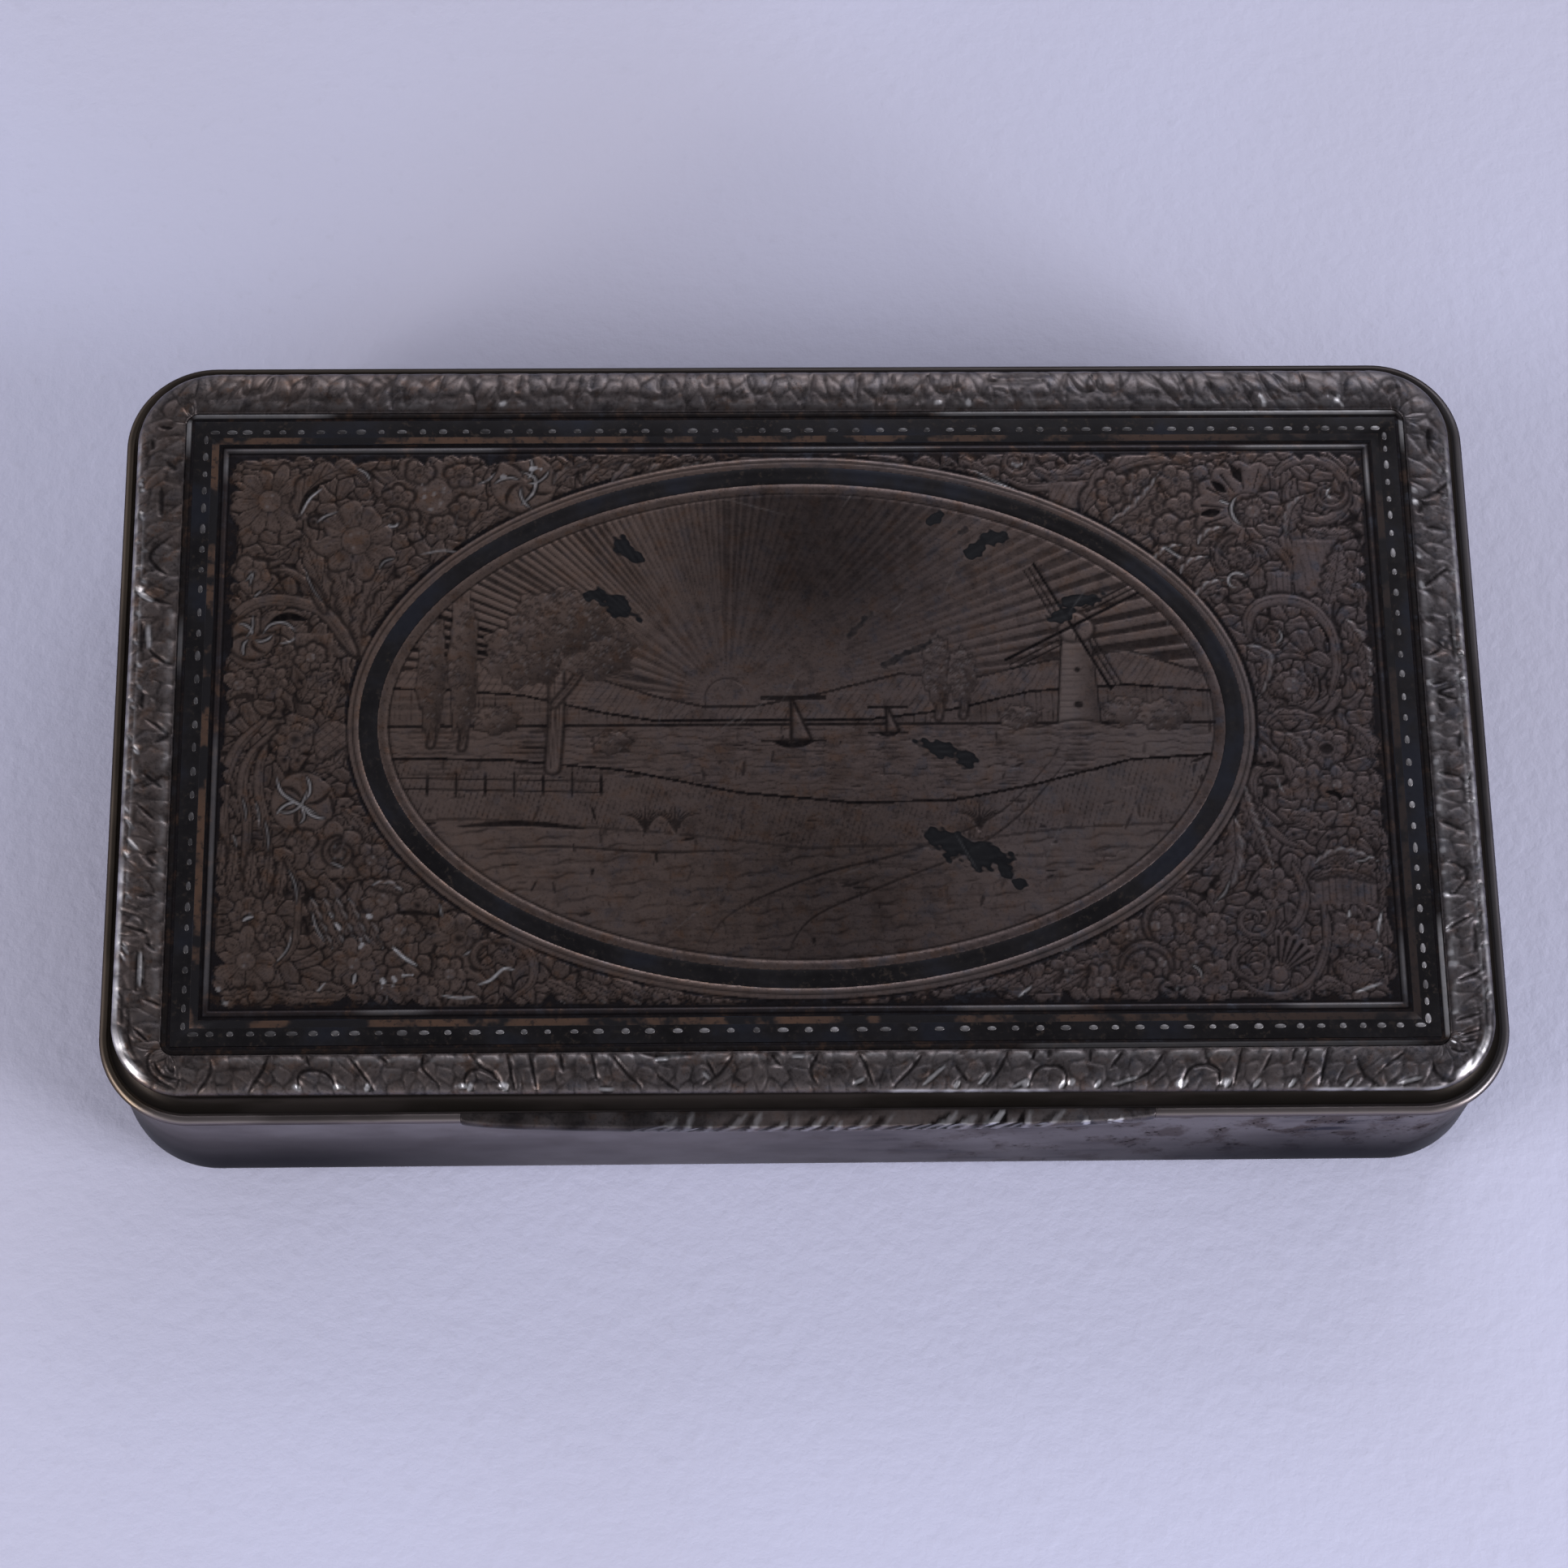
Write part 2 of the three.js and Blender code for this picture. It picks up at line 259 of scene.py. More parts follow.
def pale_floor():
    f = Finish("pale_floor")
    wide = f.cloud(90, 2.0)
    fine = f.cloud(1.3, 5.0, 0.6)
    colour = f.blend(tint(168, 167, 188), tint(174, 175, 200), wide.spread(0.35, 0.65))
    colour = f.blend(colour, tint(158, 157, 177), fine.spread(0.55, 0.8) * 0.3)
    return f.surface(colour, 0.0, 0.8, f.bump(fine, 0.1))


def worked_silver(name, brown, grey_tone, ground_tone, grimy, shift=(0, 0, 0)):
    """Engraved or chased silver: brown to the left, greyer to the right, black in the cuts."""
    f = Finish(name)
    ink = f.read("ink")
    gleam = f.read("gleam")
    leaf = f.read("leaf")
    fair = f.read("fair")
    black = f.read("black")
    wide = f.cloud(16, 3.0, shift=shift)
    stain = f.cloud(2.6, 5.0, 0.62, shift=shift)
    fine = f.cloud(0.5, 4.0, 0.6)
    grime = f.cloud(0.9, 4.0, 0.65, shift=shift)
    rust = f.cloud(1.3, 5.0, 0.68, shift=(9, 4, 0))
    grain = f.cloud(0.2, 3.0, 0.6)
    grey = (f.along("X") / 70.0 + 0.42 + (wide - 0.5) * 1.6).held()
    leafed = f.blend(brown, grey_tone, grey)
    colour = f.blend(ground_tone, leafed, leaf)
    colour = f.blend(colour, tint(56, 43, 37), stain.spread(0.5, 0.7) * 0.5)
    colour = f.blend(colour, tint(98, 74, 61), rust.spread(0.52, 0.66) * (0.6 - 0.25 * grey))
    colour = f.blend(colour, tint(68, 72, 84), (1 - rust.spread(0.34, 0.46)) * (0.25 + 0.3 * grey))
    colour = f.blend(colour, tint(22, 20, 23), grime.spread(0.48, 0.66) * grimy)
    colour = f.blend(colour, tint(24, 21, 23), grain.spread(0.5, 0.75) * 0.5)
    colour = f.blend(colour, f.blend(tint(118, 100, 94), tint(106, 100, 102), grey), fair)
    colour = f.blend(colour, tint(18, 15, 17), (ink * (0.8 + 0.4 * fine)).held())
    colour = f.blend(colour, tint(14, 14, 19), (black * 1.5 - fine * 0.5).spread(0.1, 0.7))
    # Gleam lightens the colour: painted highlight, partly the clean silver of bright cuts.
    colour = f.blend(colour, tint(190, 188, 194), (gleam * (0.7 + 0.6 * fine)).held())
    rough = (0.3 + 0.14 * stain - 0.06 * gleam + 0.08 * ink).held()
    metallic = (0.96 - 0.3 * black).held()
    return f.surface(colour, metallic, rough, f.bump(fine * 0.6 + grain * 0.4, 0.012))


def plain_silver():
    """The turned and planished outside: lid edge and body, bluish, with stains and specks at the right."""
    f = Finish("plain_silver")
    x = f.along("X")
    z = f.along("Z")
    smoke = f.cloud(11, 3.0, stretch=(1, 1, 2))
    stain = f.cloud(2.4, 5.0, 0.62)
    speck = f.cloud(0.45, 3.0, 0.6)
    fine = f.cloud(1.4, 2.0, 0.5)
    streak = f.cloud(3, 4.0, 0.6, stretch=(0.25, 0.25, 4))
    cove = f.read("cove")
    colour = f.blend(tint(146, 141, 143), tint(120, 115, 117), smoke.spread(0.32, 0.68))
    worn = (x / 30.0 + 0.1).held()
    colour = f.blend(colour, tint(84, 72, 70), stain.spread(0.48, 0.62) * (0.1 + 0.6 * worn))
    blue = smoke.spread(0.5, 0.62) * streak.spread(0.45, 0.6) * worn * 0.8
    colour = f.blend(colour, tint(58, 60, 74), blue)
    colour = f.blend(colour, tint(40, 34, 34), speck.spread(0.58, 0.66) * stain.spread(0.4, 0.6) * worn)
    # Darker towards the foot, most at the ends: partly tarnish, partly painted shade for the shadowed floor
    # that the foot reflects.
    ends = f.node("ShaderNodeMath", {"operation": "ABSOLUTE"}, _0=x)
    low = (1 - z.spread(3.0, 11.0)) * (0.12 + 0.88 * ends.spread(12, 32))
    colour = f.blend(colour, tint(46, 45, 50), low)
    lip = f.blend(tint(86, 76, 68), tint(88, 84, 87), (x / 60.0 + 0.7).held())
    lip = f.blend(tint(116, 108, 109), lip, f.along("Y").spread(-24.4, -23.4))
    lip = f.blend(lip, tint(46, 41, 39), streak.spread(0.46, 0.62) * 0.5)
    colour = f.blend(colour, lip, z.spread(11.9, 12.2))
    # The cove and the back along the hinge are darkened: painted shade, with some tarnish.
    dim = f.blend(tint(30, 26, 24), tint(42, 37, 36), streak.spread(0.4, 0.6))
    colour = f.blend(colour, dim, cove)
    rough = (0.24 + 0.12 * stain + 0.1 * cove).held()
    metallic = (0.97 - 0.1 * cove).held()
    return f.surface(colour, metallic, rough, f.bump(fine, 0.006), 0.45)


def gilt_inside():
    f = Finish("gilt_inside")
    smoke = f.cloud(7, 4.0)
    fine = f.cloud(0.5, 4.0, 0.6)
    stain = f.cloud(2.2, 5.0, 0.6)
    colour = f.blend(tint(206, 168, 98), tint(168, 128, 74), smoke.spread(0.35, 0.7))
    colour = f.blend(colour, tint(104, 78, 54), stain.spread(0.55, 0.72) * 0.7)
    return f.surface(colour, 1.0, 0.24 + 0.22 * fine, f.bump(fine, 0.008))


def black_inlay():
    f = Finish("black_inlay")
    smoke = f.cloud(5, 4.0)
    fine = f.cloud(0.35, 4.0, 0.6)
    colour = f.blend(tint(34, 32, 35), tint(20, 18, 21), smoke.spread(0.3, 0.7))
    colour = f.blend(colour, tint(50, 43, 40), fine.spread(0.55, 0.7) * smoke.spread(0.4, 0.6) * 0.8)
    colour = f.blend(colour, tint(30, 33, 44), (1 - smoke.spread(0.34, 0.5)) * 0.6)
    return f.surface(colour, 0.85, 0.32 + 0.25 * fine, f.bump(fine, 0.006))


def brown_strip():
    """The bared strip inside the black frame, with black left on it in places."""
    f = Finish("brown_strip")
    patch = f.cloud(3.4, 4.0, 0.6, stretch=(1, 1, 0.1))
    fine = f.cloud(0.4, 4.0, 0.6)
    colour = f.blend(tint(78, 58, 48), tint(58, 46, 42), patch.spread(0.35, 0.6))
    colour = f.blend(colour, tint(30, 27, 30), (f.along("X") / 40.0).held() * 0.9)
    colour = f.blend(colour, tint(22, 20, 24), patch.spread(0.47, 0.55))
    colour = f.blend(colour, tint(24, 22, 26), fine.spread(0.52, 0.66) * 0.7)
    return f.surface(colour, 0.7, 0.42, f.bump(fine, 0.008))


def bead_silver():
    f = Finish("bead_silver")
    # The gleam layer brightens the beads: painted highlight, partly wear on their tops.
    worn = f.read("gleam")
    fine = f.cloud(0.25, 3.0)
    colour = f.blend(tint(34, 32, 34), tint(150, 147, 152), worn)
    return f.surface(colour, 0.9, 0.34 + 0.2 * fine, f.bump(fine, 0.01))


def hinge_wire():
    f = Finish("hinge_wire")
    ring = f.cloud(0.4, 4.0, stretch=(6, 0.6, 0.6))
    smoke = f.cloud(3, 4.0)
    colour = f.blend(tint(150, 142, 134), tint(92, 84, 80), smoke.spread(0.35, 0.7))
    return f.surface(colour, 1.0, 0.28 + 0.2 * ring, f.bump(ring, 0.006))


# Meshes.

def make_piece(name, points, quads, finish, body, smooth_to=35.0, caps=(), layers=None):
    """A mesh piece from points in millimetres, its four-sided faces and a few caps."""
    mesh = bpy.data.meshes.new(name)
    points = np.asarray(points, float).reshape(-1, 3) * MM
    mesh.vertices.add(len(points))
    mesh.vertices.foreach_set("co", points.astype(np.float32).ravel())
    quads = np.asarray(quads, np.int32)
    corners = np.concatenate([quads.ravel(), *[np.asarray(cap, np.int32) for cap in caps]])
    sizes = np.array([4] * len(quads) + [len(cap) for cap in caps])
    mesh.loops.add(len(corners))
    mesh.loops.foreach_set("vertex_index", corners)
    mesh.polygons.add(len(sizes))
    mesh.polygons.foreach_set("loop_start", np.concatenate([[0], np.cumsum(sizes)[:-1]]).astype(np.int32))
    mesh.update(calc_edges=True)
    mesh.validate()
    mesh.polygons.foreach_set("use_smooth", np.ones(len(mesh.polygons), bool))
    mesh.set_sharp_from_angle(angle=math.radians(smooth_to))
    for layer, values in (layers or {}).items():
        held = mesh.attributes.new(layer, "FLOAT", "POINT")
        held.data.foreach_set("value", np.asarray(values, np.float32).ravel())
    piece = bpy.data.objects.new(name, mesh)
    bpy.context.scene.collection.objects.link(piece)
    for one in finish if isinstance(finish, (list, tuple)) else [finish]:
        mesh.materials.append(one)
    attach(piece, body)
    return piece


def lay_flat(piece, spots):
    """Gives each corner of each face its place on a flat sheet, the UV map named OFBake."""
    sheet = piece.data.uv_layers.new(name="OFBake")
    sheet.data.foreach_set("uv", np.concatenate([np.reshape(part, -1) for part in spots]).astype(np.float32))


def stand_for(piece, slot, *nodes):
    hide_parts(*nodes)
    return piece


def side_steps(spacing):
    """How many steps a long and a short side are laid out in, between the corners."""
    return [max(1, round(2 * half / spacing)) for half in straight_half]


def outline(half_x, front, back, radius, spacing, corner_steps):
    """Points round an oblong with round corners, from the foot of its right back corner, leftwards."""
    radius = max(radius, 0.01)
    turns = np.linspace(0, math.pi / 2, corner_steps + 1)
    centres = [
        (half_x - radius, back - radius),
        (radius - half_x, back - radius),
        (radius - half_x, radius - front),
        (half_x - radius, radius - front),
    ]
    points = []
    for quarter, (cx, cy) in enumerate(centres):
        angle = turns + quarter * math.pi / 2
        round_corner = np.stack([cx + radius * np.cos(angle), cy + radius * np.sin(angle)], 1)
        after = centres[(quarter + 1) % 4]
        last = angle[-1]
        start = round_corner[-1]
        end = np.array(after) + radius * np.array([math.cos(last), math.sin(last)])
        share = np.linspace(0, 1, side_steps(spacing)[quarter % 2] + 1)[1:-1, None]
        points += [round_corner, start + (end - start) * share]
    return np.concatenate(points)


def lid_outline(inset, radius=None):
    radius = lid_radius - inset if radius is None else radius
    return (lid_half[0] - inset, lid_half[1] - inset, lid_half[1] - inset, radius)


def body_outline(inset):
    return (body_half[0] - inset, body_half[1] - inset, body_half[1] - inset, body_radius - inset)


def bezel_outline(inset):
    x, front, back, radius = bezel_outer
    return (x - inset, front - inset, back - inset, radius - inset)


def skin(rows, columns, closed_rows, closed_columns):
    """Faces over a net of points, row by row."""
    row = np.arange(rows if closed_rows else rows - 1)[:, None]
    column = np.arange(columns if closed_columns else columns - 1)[None, :]
    over = (row + 1) % rows
    beside = (column + 1) % columns
    net = [row * columns + column, row * columns + beside, over * columns + beside, over * columns + column]
    return np.stack(np.broadcast_arrays(*net), -1).reshape(-1, 4)


def loft(name, layers, finish, body, closed, corner_steps=24, finish_of=None):
    """Skins outlines at their heights. Closed, its last layer joins its first; open, it gets caps."""
    rings = [
        np.column_stack([ring, np.full(len(ring), z)])
        for ring, z in ((outline(*shape, 1.5, corner_steps), z) for shape, z in layers)
    ]
    count = len(rings[0])
    quads = skin(len(rings), count, closed, True)
    around = np.arange(count)
    caps = () if closed else (around[::-1], (len(rings) - 1) * count + around)
    piece = make_piece(name, np.concatenate(rings), quads, finish, body, caps=caps)
    if finish_of:
        spans = len(quads) // count
        which = np.repeat([finish_of(span) for span in range(spans)], count).tolist()
        which += [] if closed else [finish_of(-1), finish_of(spans)]
        piece.data.polygons.foreach_set("material_index", np.array(which, np.int32))
    return piece


def arc(cx, cy, rx, ry, start, end, steps):
    angle = np.radians(np.linspace(start, end, steps + 1))
    return [(cx + rx * math.cos(a), cy + ry * math.sin(a)) for a in angle]


def settle(piece):
    """Keeps what a piece's modifiers made of it."""
    bpy.context.view_layer.update()
    ready = piece.evaluated_get(bpy.context.evaluated_depsgraph_get())
    fresh = bpy.data.meshes.new_from_object(ready)
    piece.modifiers.clear()
    piece.data = fresh


def cut_away(piece, *boxes):
    """Takes boxes, in millimetres, out of a piece for good."""
    for low, high in boxes:
        sides = list(zip(low, high))
        corners = [(x, y, z) for x in sides[0] for y in sides[1] for z in sides[2]]
        faces = [(0, 1, 3, 2), (4, 6, 7, 5), (0, 4, 5, 1), (2, 3, 7, 6), (0, 2, 6, 4), (1, 5, 7, 3)]
        mesh = bpy.data.meshes.new("cutter")
        mesh.from_pydata([tuple(c * MM for c in corner) for corner in corners], [], faces)
        cutter = bpy.data.objects.new("cutter", mesh)
        bpy.context.scene.collection.objects.link(cutter)
        step = piece.modifiers.new("cut", "BOOLEAN")
        step.operation = "DIFFERENCE"
        step.solver = "EXACT"
        step.object = cutter
        settle(piece)
        bpy.data.objects.remove(cutter)
    piece.data.set_sharp_from_angle(angle=math.radians(35))


def dressed(node_name, name, finish, body, slot, edge=0.06):
    """A copy of a plain CAD piece with its edges eased and its rounds smooth."""
    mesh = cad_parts[node_name].data.copy()
    mesh.name = name
    mesh.materials.clear()
    for one in finish:
        mesh.materials.append(one)
    piece = bpy.data.objects.new(name, mesh)
    bpy.context.scene.collection.objects.link(piece)
    weld = piece.modifiers.new("weld", "WELD")
    weld.merge_threshold = 0.002 * MM
    flat = piece.modifiers.new("flat", "DECIMATE")
    flat.decimate_type = "DISSOLVE"
    flat.angle_limit = math.radians(1)
    ease = piece.modifiers.new("ease", "BEVEL")
    ease.width = edge * MM
    ease.segments = 2
    ease.limit_method = "ANGLE"
    ease.angle_limit = math.radians(40)
    settle(piece)
    piece.data.polygons.foreach_set("use_smooth", np.ones(len(piece.data.polygons), bool))
    piece.data.set_sharp_from_angle(angle=math.radians(40))
    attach(piece, body)
    return stand_for(piece, slot, node_name)


# The graver's work.

everywhere = slice(None)


def within(value):
    """Kept between 0 and 1."""
    return np.clip(value, 0, 1)


def stripe(off, width, core=1.3):
    """1 along a line, softly down to 0 a little more than the width away from it."""
    return within(core - np.abs(off) / width)


def at_least(layer, value, where=everywhere):
    """Raises a layer to a value wherever it is lower."""
    layer[where] = np.maximum(layer[where], value)


def swell(along, start, end):
    """1 in the middle of a stroke, thinning to nothing over its first and last parts."""
    grow = within(along / max(start, 1e-6))
    fade = within((1 - along) / max(end, 1e-6))
    return np.sqrt(grow * fade)


def curve(*stops):
    """A smooth line through a few points."""
    stops = np.array(stops, float)
    if len(stops) == 2:
        return stops[0] + (stops[1] - stops[0]) * np.linspace(0, 1, 3)[:, None]
    padded = np.vstack([2 * stops[0] - stops[1], stops, 2 * stops[-1] - stops[-2]])
    t = np.linspace(0, 1, 7, endpoint=False)[:, None]
    spans = [
        0.5 * (2 * b + (c - a) * t + (2 * a - 5 * b + 4 * c - d) * t**2 + (3 * b - a - 3 * c + d) * t**3)
        for a, b, c, d in zip(padded, padded[1:], padded[2:], padded[3:])
    ]
    return np.vstack([*spans, stops[-1:]])


def spiral(x, y, radius, start, turns, close=0.25):
    """A line that winds inwards round a point from an angle in degrees; turns below 0 wind clockwise."""
    share = np.linspace(0, 1, 32)
    angle = math.radians(start) + share * turns * 2 * math.pi
    reach = radius * (1 - share * (1 - close))
    return np.column_stack([x + reach * np.cos(angle), y + reach * np.sin(angle)])


class Engraving:
    """Silver under the graver: its height in millimetres, and how inked, bright, raised or black it is."""

    def __init__(self, x_from, x_to, y_from, y_to, pitch, ground=0.0, ink=0.0):
        self.x = np.linspace(x_from, x_to, round((x_to - x_from) / pitch) + 1)
        self.y = np.linspace(y_from, y_to, round((y_to - y_from) / pitch) + 1)
        self.pitch = pitch
        shape = (len(self.y), len(self.x))
        self.height = np.full(shape, ground)
        self.ink = np.full(shape, ink)
        self.gleam, self.leaf, self.fair, self.black = (np.zeros(shape) for _ in range(4))

    def layers(self):
        return {name: getattr(self, name) for name in ("ink", "gleam", "leaf", "fair", "black")}

    def window(self, low, high):
        columns = slice(*np.searchsorted(self.x, (low[0], high[0])))
        rows = slice(*np.searchsorted(self.y, (low[1], high[1])))
        return (rows, columns), self.x[columns][None, :], self.y[rows][:, None]

    def round_about(self, x, y, reach_x, reach_y, margin=0.0):
        low = (x - reach_x - margin, y - reach_y - margin)
        high = (x + reach_x + margin, y + reach_y + margin)
        return self.window(low, high)

    def follow(self, points, margin):
        """For each spot near a line: how far along it, from 0 to 1, how far off, and how far to its left."""
        points = np.asarray(points, float)
        where, x, y = self.window(points.min(0) - margin, points.max(0) + margin)
        steps = np.diff(points, axis=0)
        lengths = np.hypot(*steps.T) + 1e-9
        before = np.concatenate([[0], np.cumsum(lengths)])
        off = np.full((y.size, x.size), 1e3)
        along = np.zeros_like(off)
        left = np.zeros_like(off)
        for (px, py), (dx, dy), length, ran in zip(points, steps, lengths, before):
            share = within(((x - px) * dx + (y - py) * dy) / length**2)
            gx, gy = x - px - share * dx, y - py - share * dy
            gap = np.hypot(gx, gy)
            closer = gap < off
            off = np.where(closer, gap, off)
            along = np.where(closer, (ran + share * length) / before[-1], along)
            left = np.where(closer, np.where(dx * gy > dy * gx, gap, -gap), left)
        return where, along, off, left

    def crowd(self, seeds, reach=2.2, long=0.6, flat=1.3, bend=0.25):
        """Shares the silver among seeds: whose a spot is, how clear of the next, how far ahead and aside."""
        nearest = np.full(self.height.shape, 9.0)
        second = nearest.copy()
        owner = np.zeros(self.height.shape, int)
        for k, (px, py, way) in enumerate(seeds):
            where, wx, wy = self.round_about(px, py, reach, reach)
            ahead = (wx - px) * math.cos(way) + (wy - py) * math.sin(way)
            aside = (wy - py) * math.cos(way) - (wx - px) * math.sin(way)
            off = np.hypot(ahead * long, aside * flat + bend * ahead**2)
            second[where] = np.minimum(second[where], np.maximum(nearest[where], off))
            owner[where] = np.where(off < nearest[where], k, owner[where])
            nearest[where] = np.minimum(nearest[where], off)
        sx, sy, turn = np.asarray(seeds).T
        dx, dy = self.x[None, :] - sx[owner], self.y[:, None] - sy[owner]
        ahead = dx * np.cos(turn)[owner] + dy * np.sin(turn)[owner]
        aside = dy * np.cos(turn)[owner] - dx * np.sin(turn)[owner]
        return owner, second - nearest, ahead, aside

    def cover(self, inside):
        """1 well inside a shape, 0 outside, soft over one pitch."""
        return within(inside / self.pitch + 0.5)

    def mark(self, where, share, depth=0.03):
        """Cuts and blackens by a share."""
        at_least(self.ink, share, where)
        self.height[where] -= depth * share

    def cut(self, points, width, depth, ink, gleam=0.0, thin=(0.3, 0.3)):
        """One cut of the graver."""
        where, along, off, _ = self.follow(points, width + 0.2)
        half = np.maximum(width / 2 * swell(along, *thin), 1e-4)
        covered = self.cover(half - off) * within(2 * half / self.pitch)
        self.height[where] -= depth * stripe(off, half + 0.03)
        at_least(self.ink, ink * covered, where)
        if gleam:
            at_least(self.gleam, gleam * covered, where)
            self.ink[where] *= 1 - gleam * covered

    def bright_cut(self, points, width, gleam):
        """A broad slanting cut that catches the light, dark on both sides; its bright middle is a painted
        highlight over clean silver.
        """
        self.cut(points, width * 2.1, 0.05, 1.0)
        self.cut(points, width * 0.7, 0.02, 0.0, gleam)

    def hatch(self, where, x, y, inside, angle, gap, strength, width=0.4):
        """Fine parallel lines over a shape."""
        run = x * math.sin(math.radians(angle)) - y * math.cos(math.radians(angle))
        saw = np.abs((run / gap) % 1 - 0.5) * 2
        line = within((saw - (1 - width)) / 0.35) * within(inside)
        self.mark(where, strength * line, 0.015)

    def hatch_patch(self, x_span, y_span, angle, gap, strength):
        where, x, y = self.window((x_span[0], y_span[0]), (x_span[1], y_span[1]))
        edge = np.minimum(np.minimum(x - x_span[0], x_span[1] - x), np.minimum(y - y_span[0], y_span[1] - y))
        self.swelling(where, edge, -0.01, 0.3, 0.04, 0.5)
        self.hatch(where, x, y, edge / 0.2, angle, gap, strength)

    def swelling(self, where, inside, top, rounding, drop, line=0.8):
        """Raises a shape, rounded towards its outline, and cuts the outline."""
        covered = self.cover(inside)
        dome = 1 - (1 - within(inside / rounding)) ** 2
        self.height[where] += covered * (top - drop * (1 - dome) - self.height[where])
        for layer in (self.ink, self.gleam):
            layer[where] *= 1 - covered
        at_least(self.leaf, covered, where)
        self.mark(where, line * stripe(inside + 0.04, 0.085 + 0.09 * (line >= 0.8)))
        return covered

    def band(self, points, width, ends=(0.35, 0.5), thinnest=0.25):
        """A raised stem or scroll, thinning to its ends, with a cut along it."""
        where, along, off, left = self.follow(points, width)
        half = width / 2 * (thinnest + (1 - thinnest) * swell(along, *ends))
        self.swelling(where, half - off, 0.0, width / 3, 0.05)
        groove = stripe(left - half * 0.25, 0.06, 1.2) * (half > 0.18) * (off < half)
        self.mark(where, 0.6 * groove, 0.02)

    def acanthus(self, points, width, lobes, sides=(1, 1), veins=1.0, slant=0.9, light=0.0):
        """A leaf with lobes beside its rib, and veins."""
        where, along, off, left = self.follow(points, width)
        side = np.where(left > 0, sides[0], sides[1])
        scallop = np.abs(np.sin(math.pi * lobes * within(along * 1.02)))
        full = np.sin(math.pi * within(along) ** 0.8) ** 0.75
        half = width / 2 * full * (0.62 + 0.38 * scallop) * side + 0.05
        inside = half - off
        covered = self.swelling(where, inside, 0.0, 0.35, 0.06)
        saw = np.abs(((along * lobes - np.abs(left) / width * slant * 2) % 1) - 0.5) * 2
        vein = within((saw - 0.8) / 0.12) * within(inside / 0.1) * within(off / 0.12)
        rib = stripe(off, 0.07, 1.2) * within(inside / 0.1)
        finer = np.abs(((along * lobes * 3 - np.abs(left) / width * slant * 6) % 1) - 0.5) * 2
        fine = within((finer - 0.5) / 0.4) * within(inside / 0.15) * (width > 1)
        self.mark(where, np.maximum.reduce([vein * veins * 0.75, rib * 0.8, fine * 0.35]), 0.025)
        # A painted highlight along the left half of the leaf.
        if light:
            lit = stripe(off - half * 0.5, 0.12) * covered * light * (left > 0)
            at_least(self.gleam, lit * within(saw * 1.4), where)

    def petals(self, x, y, radius, count, turn, notch, heart, centre="dots"):
        """A round flower seen from above."""
        where, gx, gy = self.round_about(x, y, radius, radius, 0.3)
        dx, dy = gx - x, gy - y
        rho = np.hypot(dx, dy)
        beat = (np.arctan2(dy, dx) - math.radians(turn)) * count / 2
        limit = radius * (1 - notch * (1 - np.abs(np.cos(beat))) ** 1.3)
        limit *= 1 + 0.1 * np.sin(beat * 0.62 + x) + 0.06 * np.sin(beat * 1.7 + y)
        self.swelling(where, limit - rho, 0.0, 0.3, 0.06)
        split = stripe(np.cos(beat) * rho * 2 / count, 0.06, 1.2)
        finer = 5 if radius > 1.6 else 3
        rib = stripe(np.sin(beat * finer) * rho * 2 / count / finer, 0.05, 1.1)
        rib *= rho < limit * (0.72 + 0.14 * np.sin(beat * 8))
        petal = (rho > radius * heart) * (rho < limit)
        ringed = stripe(rho - radius * heart, 0.07, 1.2)
        self.mark(where, np.maximum.reduce([0.8 * split * petal, 0.5 * rib * petal, 0.7 * ringed]))
        if centre == "dots":
            for k in range(6):
                a = math.radians(turn + 60 * k)
                out = radius * heart * 0.55
                spot = np.hypot(dx - out * math.cos(a), dy - out * math.sin(a))
                bright = (0.2 + 0.2 * math.sin(k * 2.4 + x)) * stripe(spot, 0.12)
                at_least(self.gleam, bright, where)
        else:
            self.mark(where, 0.8 * stripe(rho, radius * heart * 0.6, 1.4))

    def whirl(self, x, y, radius, arms, turn, bend, light):
        """A flower of bent arms, every other one cut bright."""
        where, gx, gy = self.round_about(x, y, radius, radius, 0.3)
        self.swelling(where, radius - np.hypot(gx - x, gy - y), 0.0, 0.3, 0.06)
        for k in range(arms):
            a = math.radians(turn + 360 * k / arms)
            arm = curve(*[
                (x + radius * r * math.cos(a + bend * r), y + radius * r * math.sin(a + bend * r))
                for r in (0.12, 0.4, 0.68, 0.9)
            ])
            if k % 2:
                self.cut(arm, 0.3, 0.05, 0.8)
            else:
                self.bright_cut(arm, 0.18, light)

    def shell(self, x, y, radius, start, end, ribs, heart, wedge):
        """A fan of ribs with dark slots between them."""
        where, gx, gy = self.round_about(x, y, radius, radius, 0.3)
        dx, dy = gx - x, gy - y
        rho = np.hypot(dx, dy)
        share = ((np.degrees(np.arctan2(dy, dx)) - start) % 360) / (end - start)
        beat = share * ribs * math.pi
        limit = radius * (0.88 + 0.12 * np.abs(np.sin(beat)))
        side = np.minimum(share, 1 - share) * math.radians(end - start) * rho
        fan = np.where(share <= 1, np.minimum(limit - rho, side), -rho)
        self.swelling(where, np.maximum(fan, radius * heart - rho), 0.0, 0.3, 0.06)
        across = np.abs(np.cos(beat)) * rho * math.radians(end - start) / ribs / 2
        width = wedge * radius / ribs * within((rho - radius * heart) / (radius * (1 - heart)))
        reach = within((radius * 0.86 - rho) / 0.1) * within((rho - radius * heart * 1.15) / 0.1)
        slot = within((width * 0.35 - across + 0.12) / 0.1) * reach * (share > 0.06) * (share < 0.94)
        inner = stripe(rho - radius * heart, 0.07, 1.2)
        self.mark(where, np.maximum(slot * 0.9, inner * 0.8), 0.04)

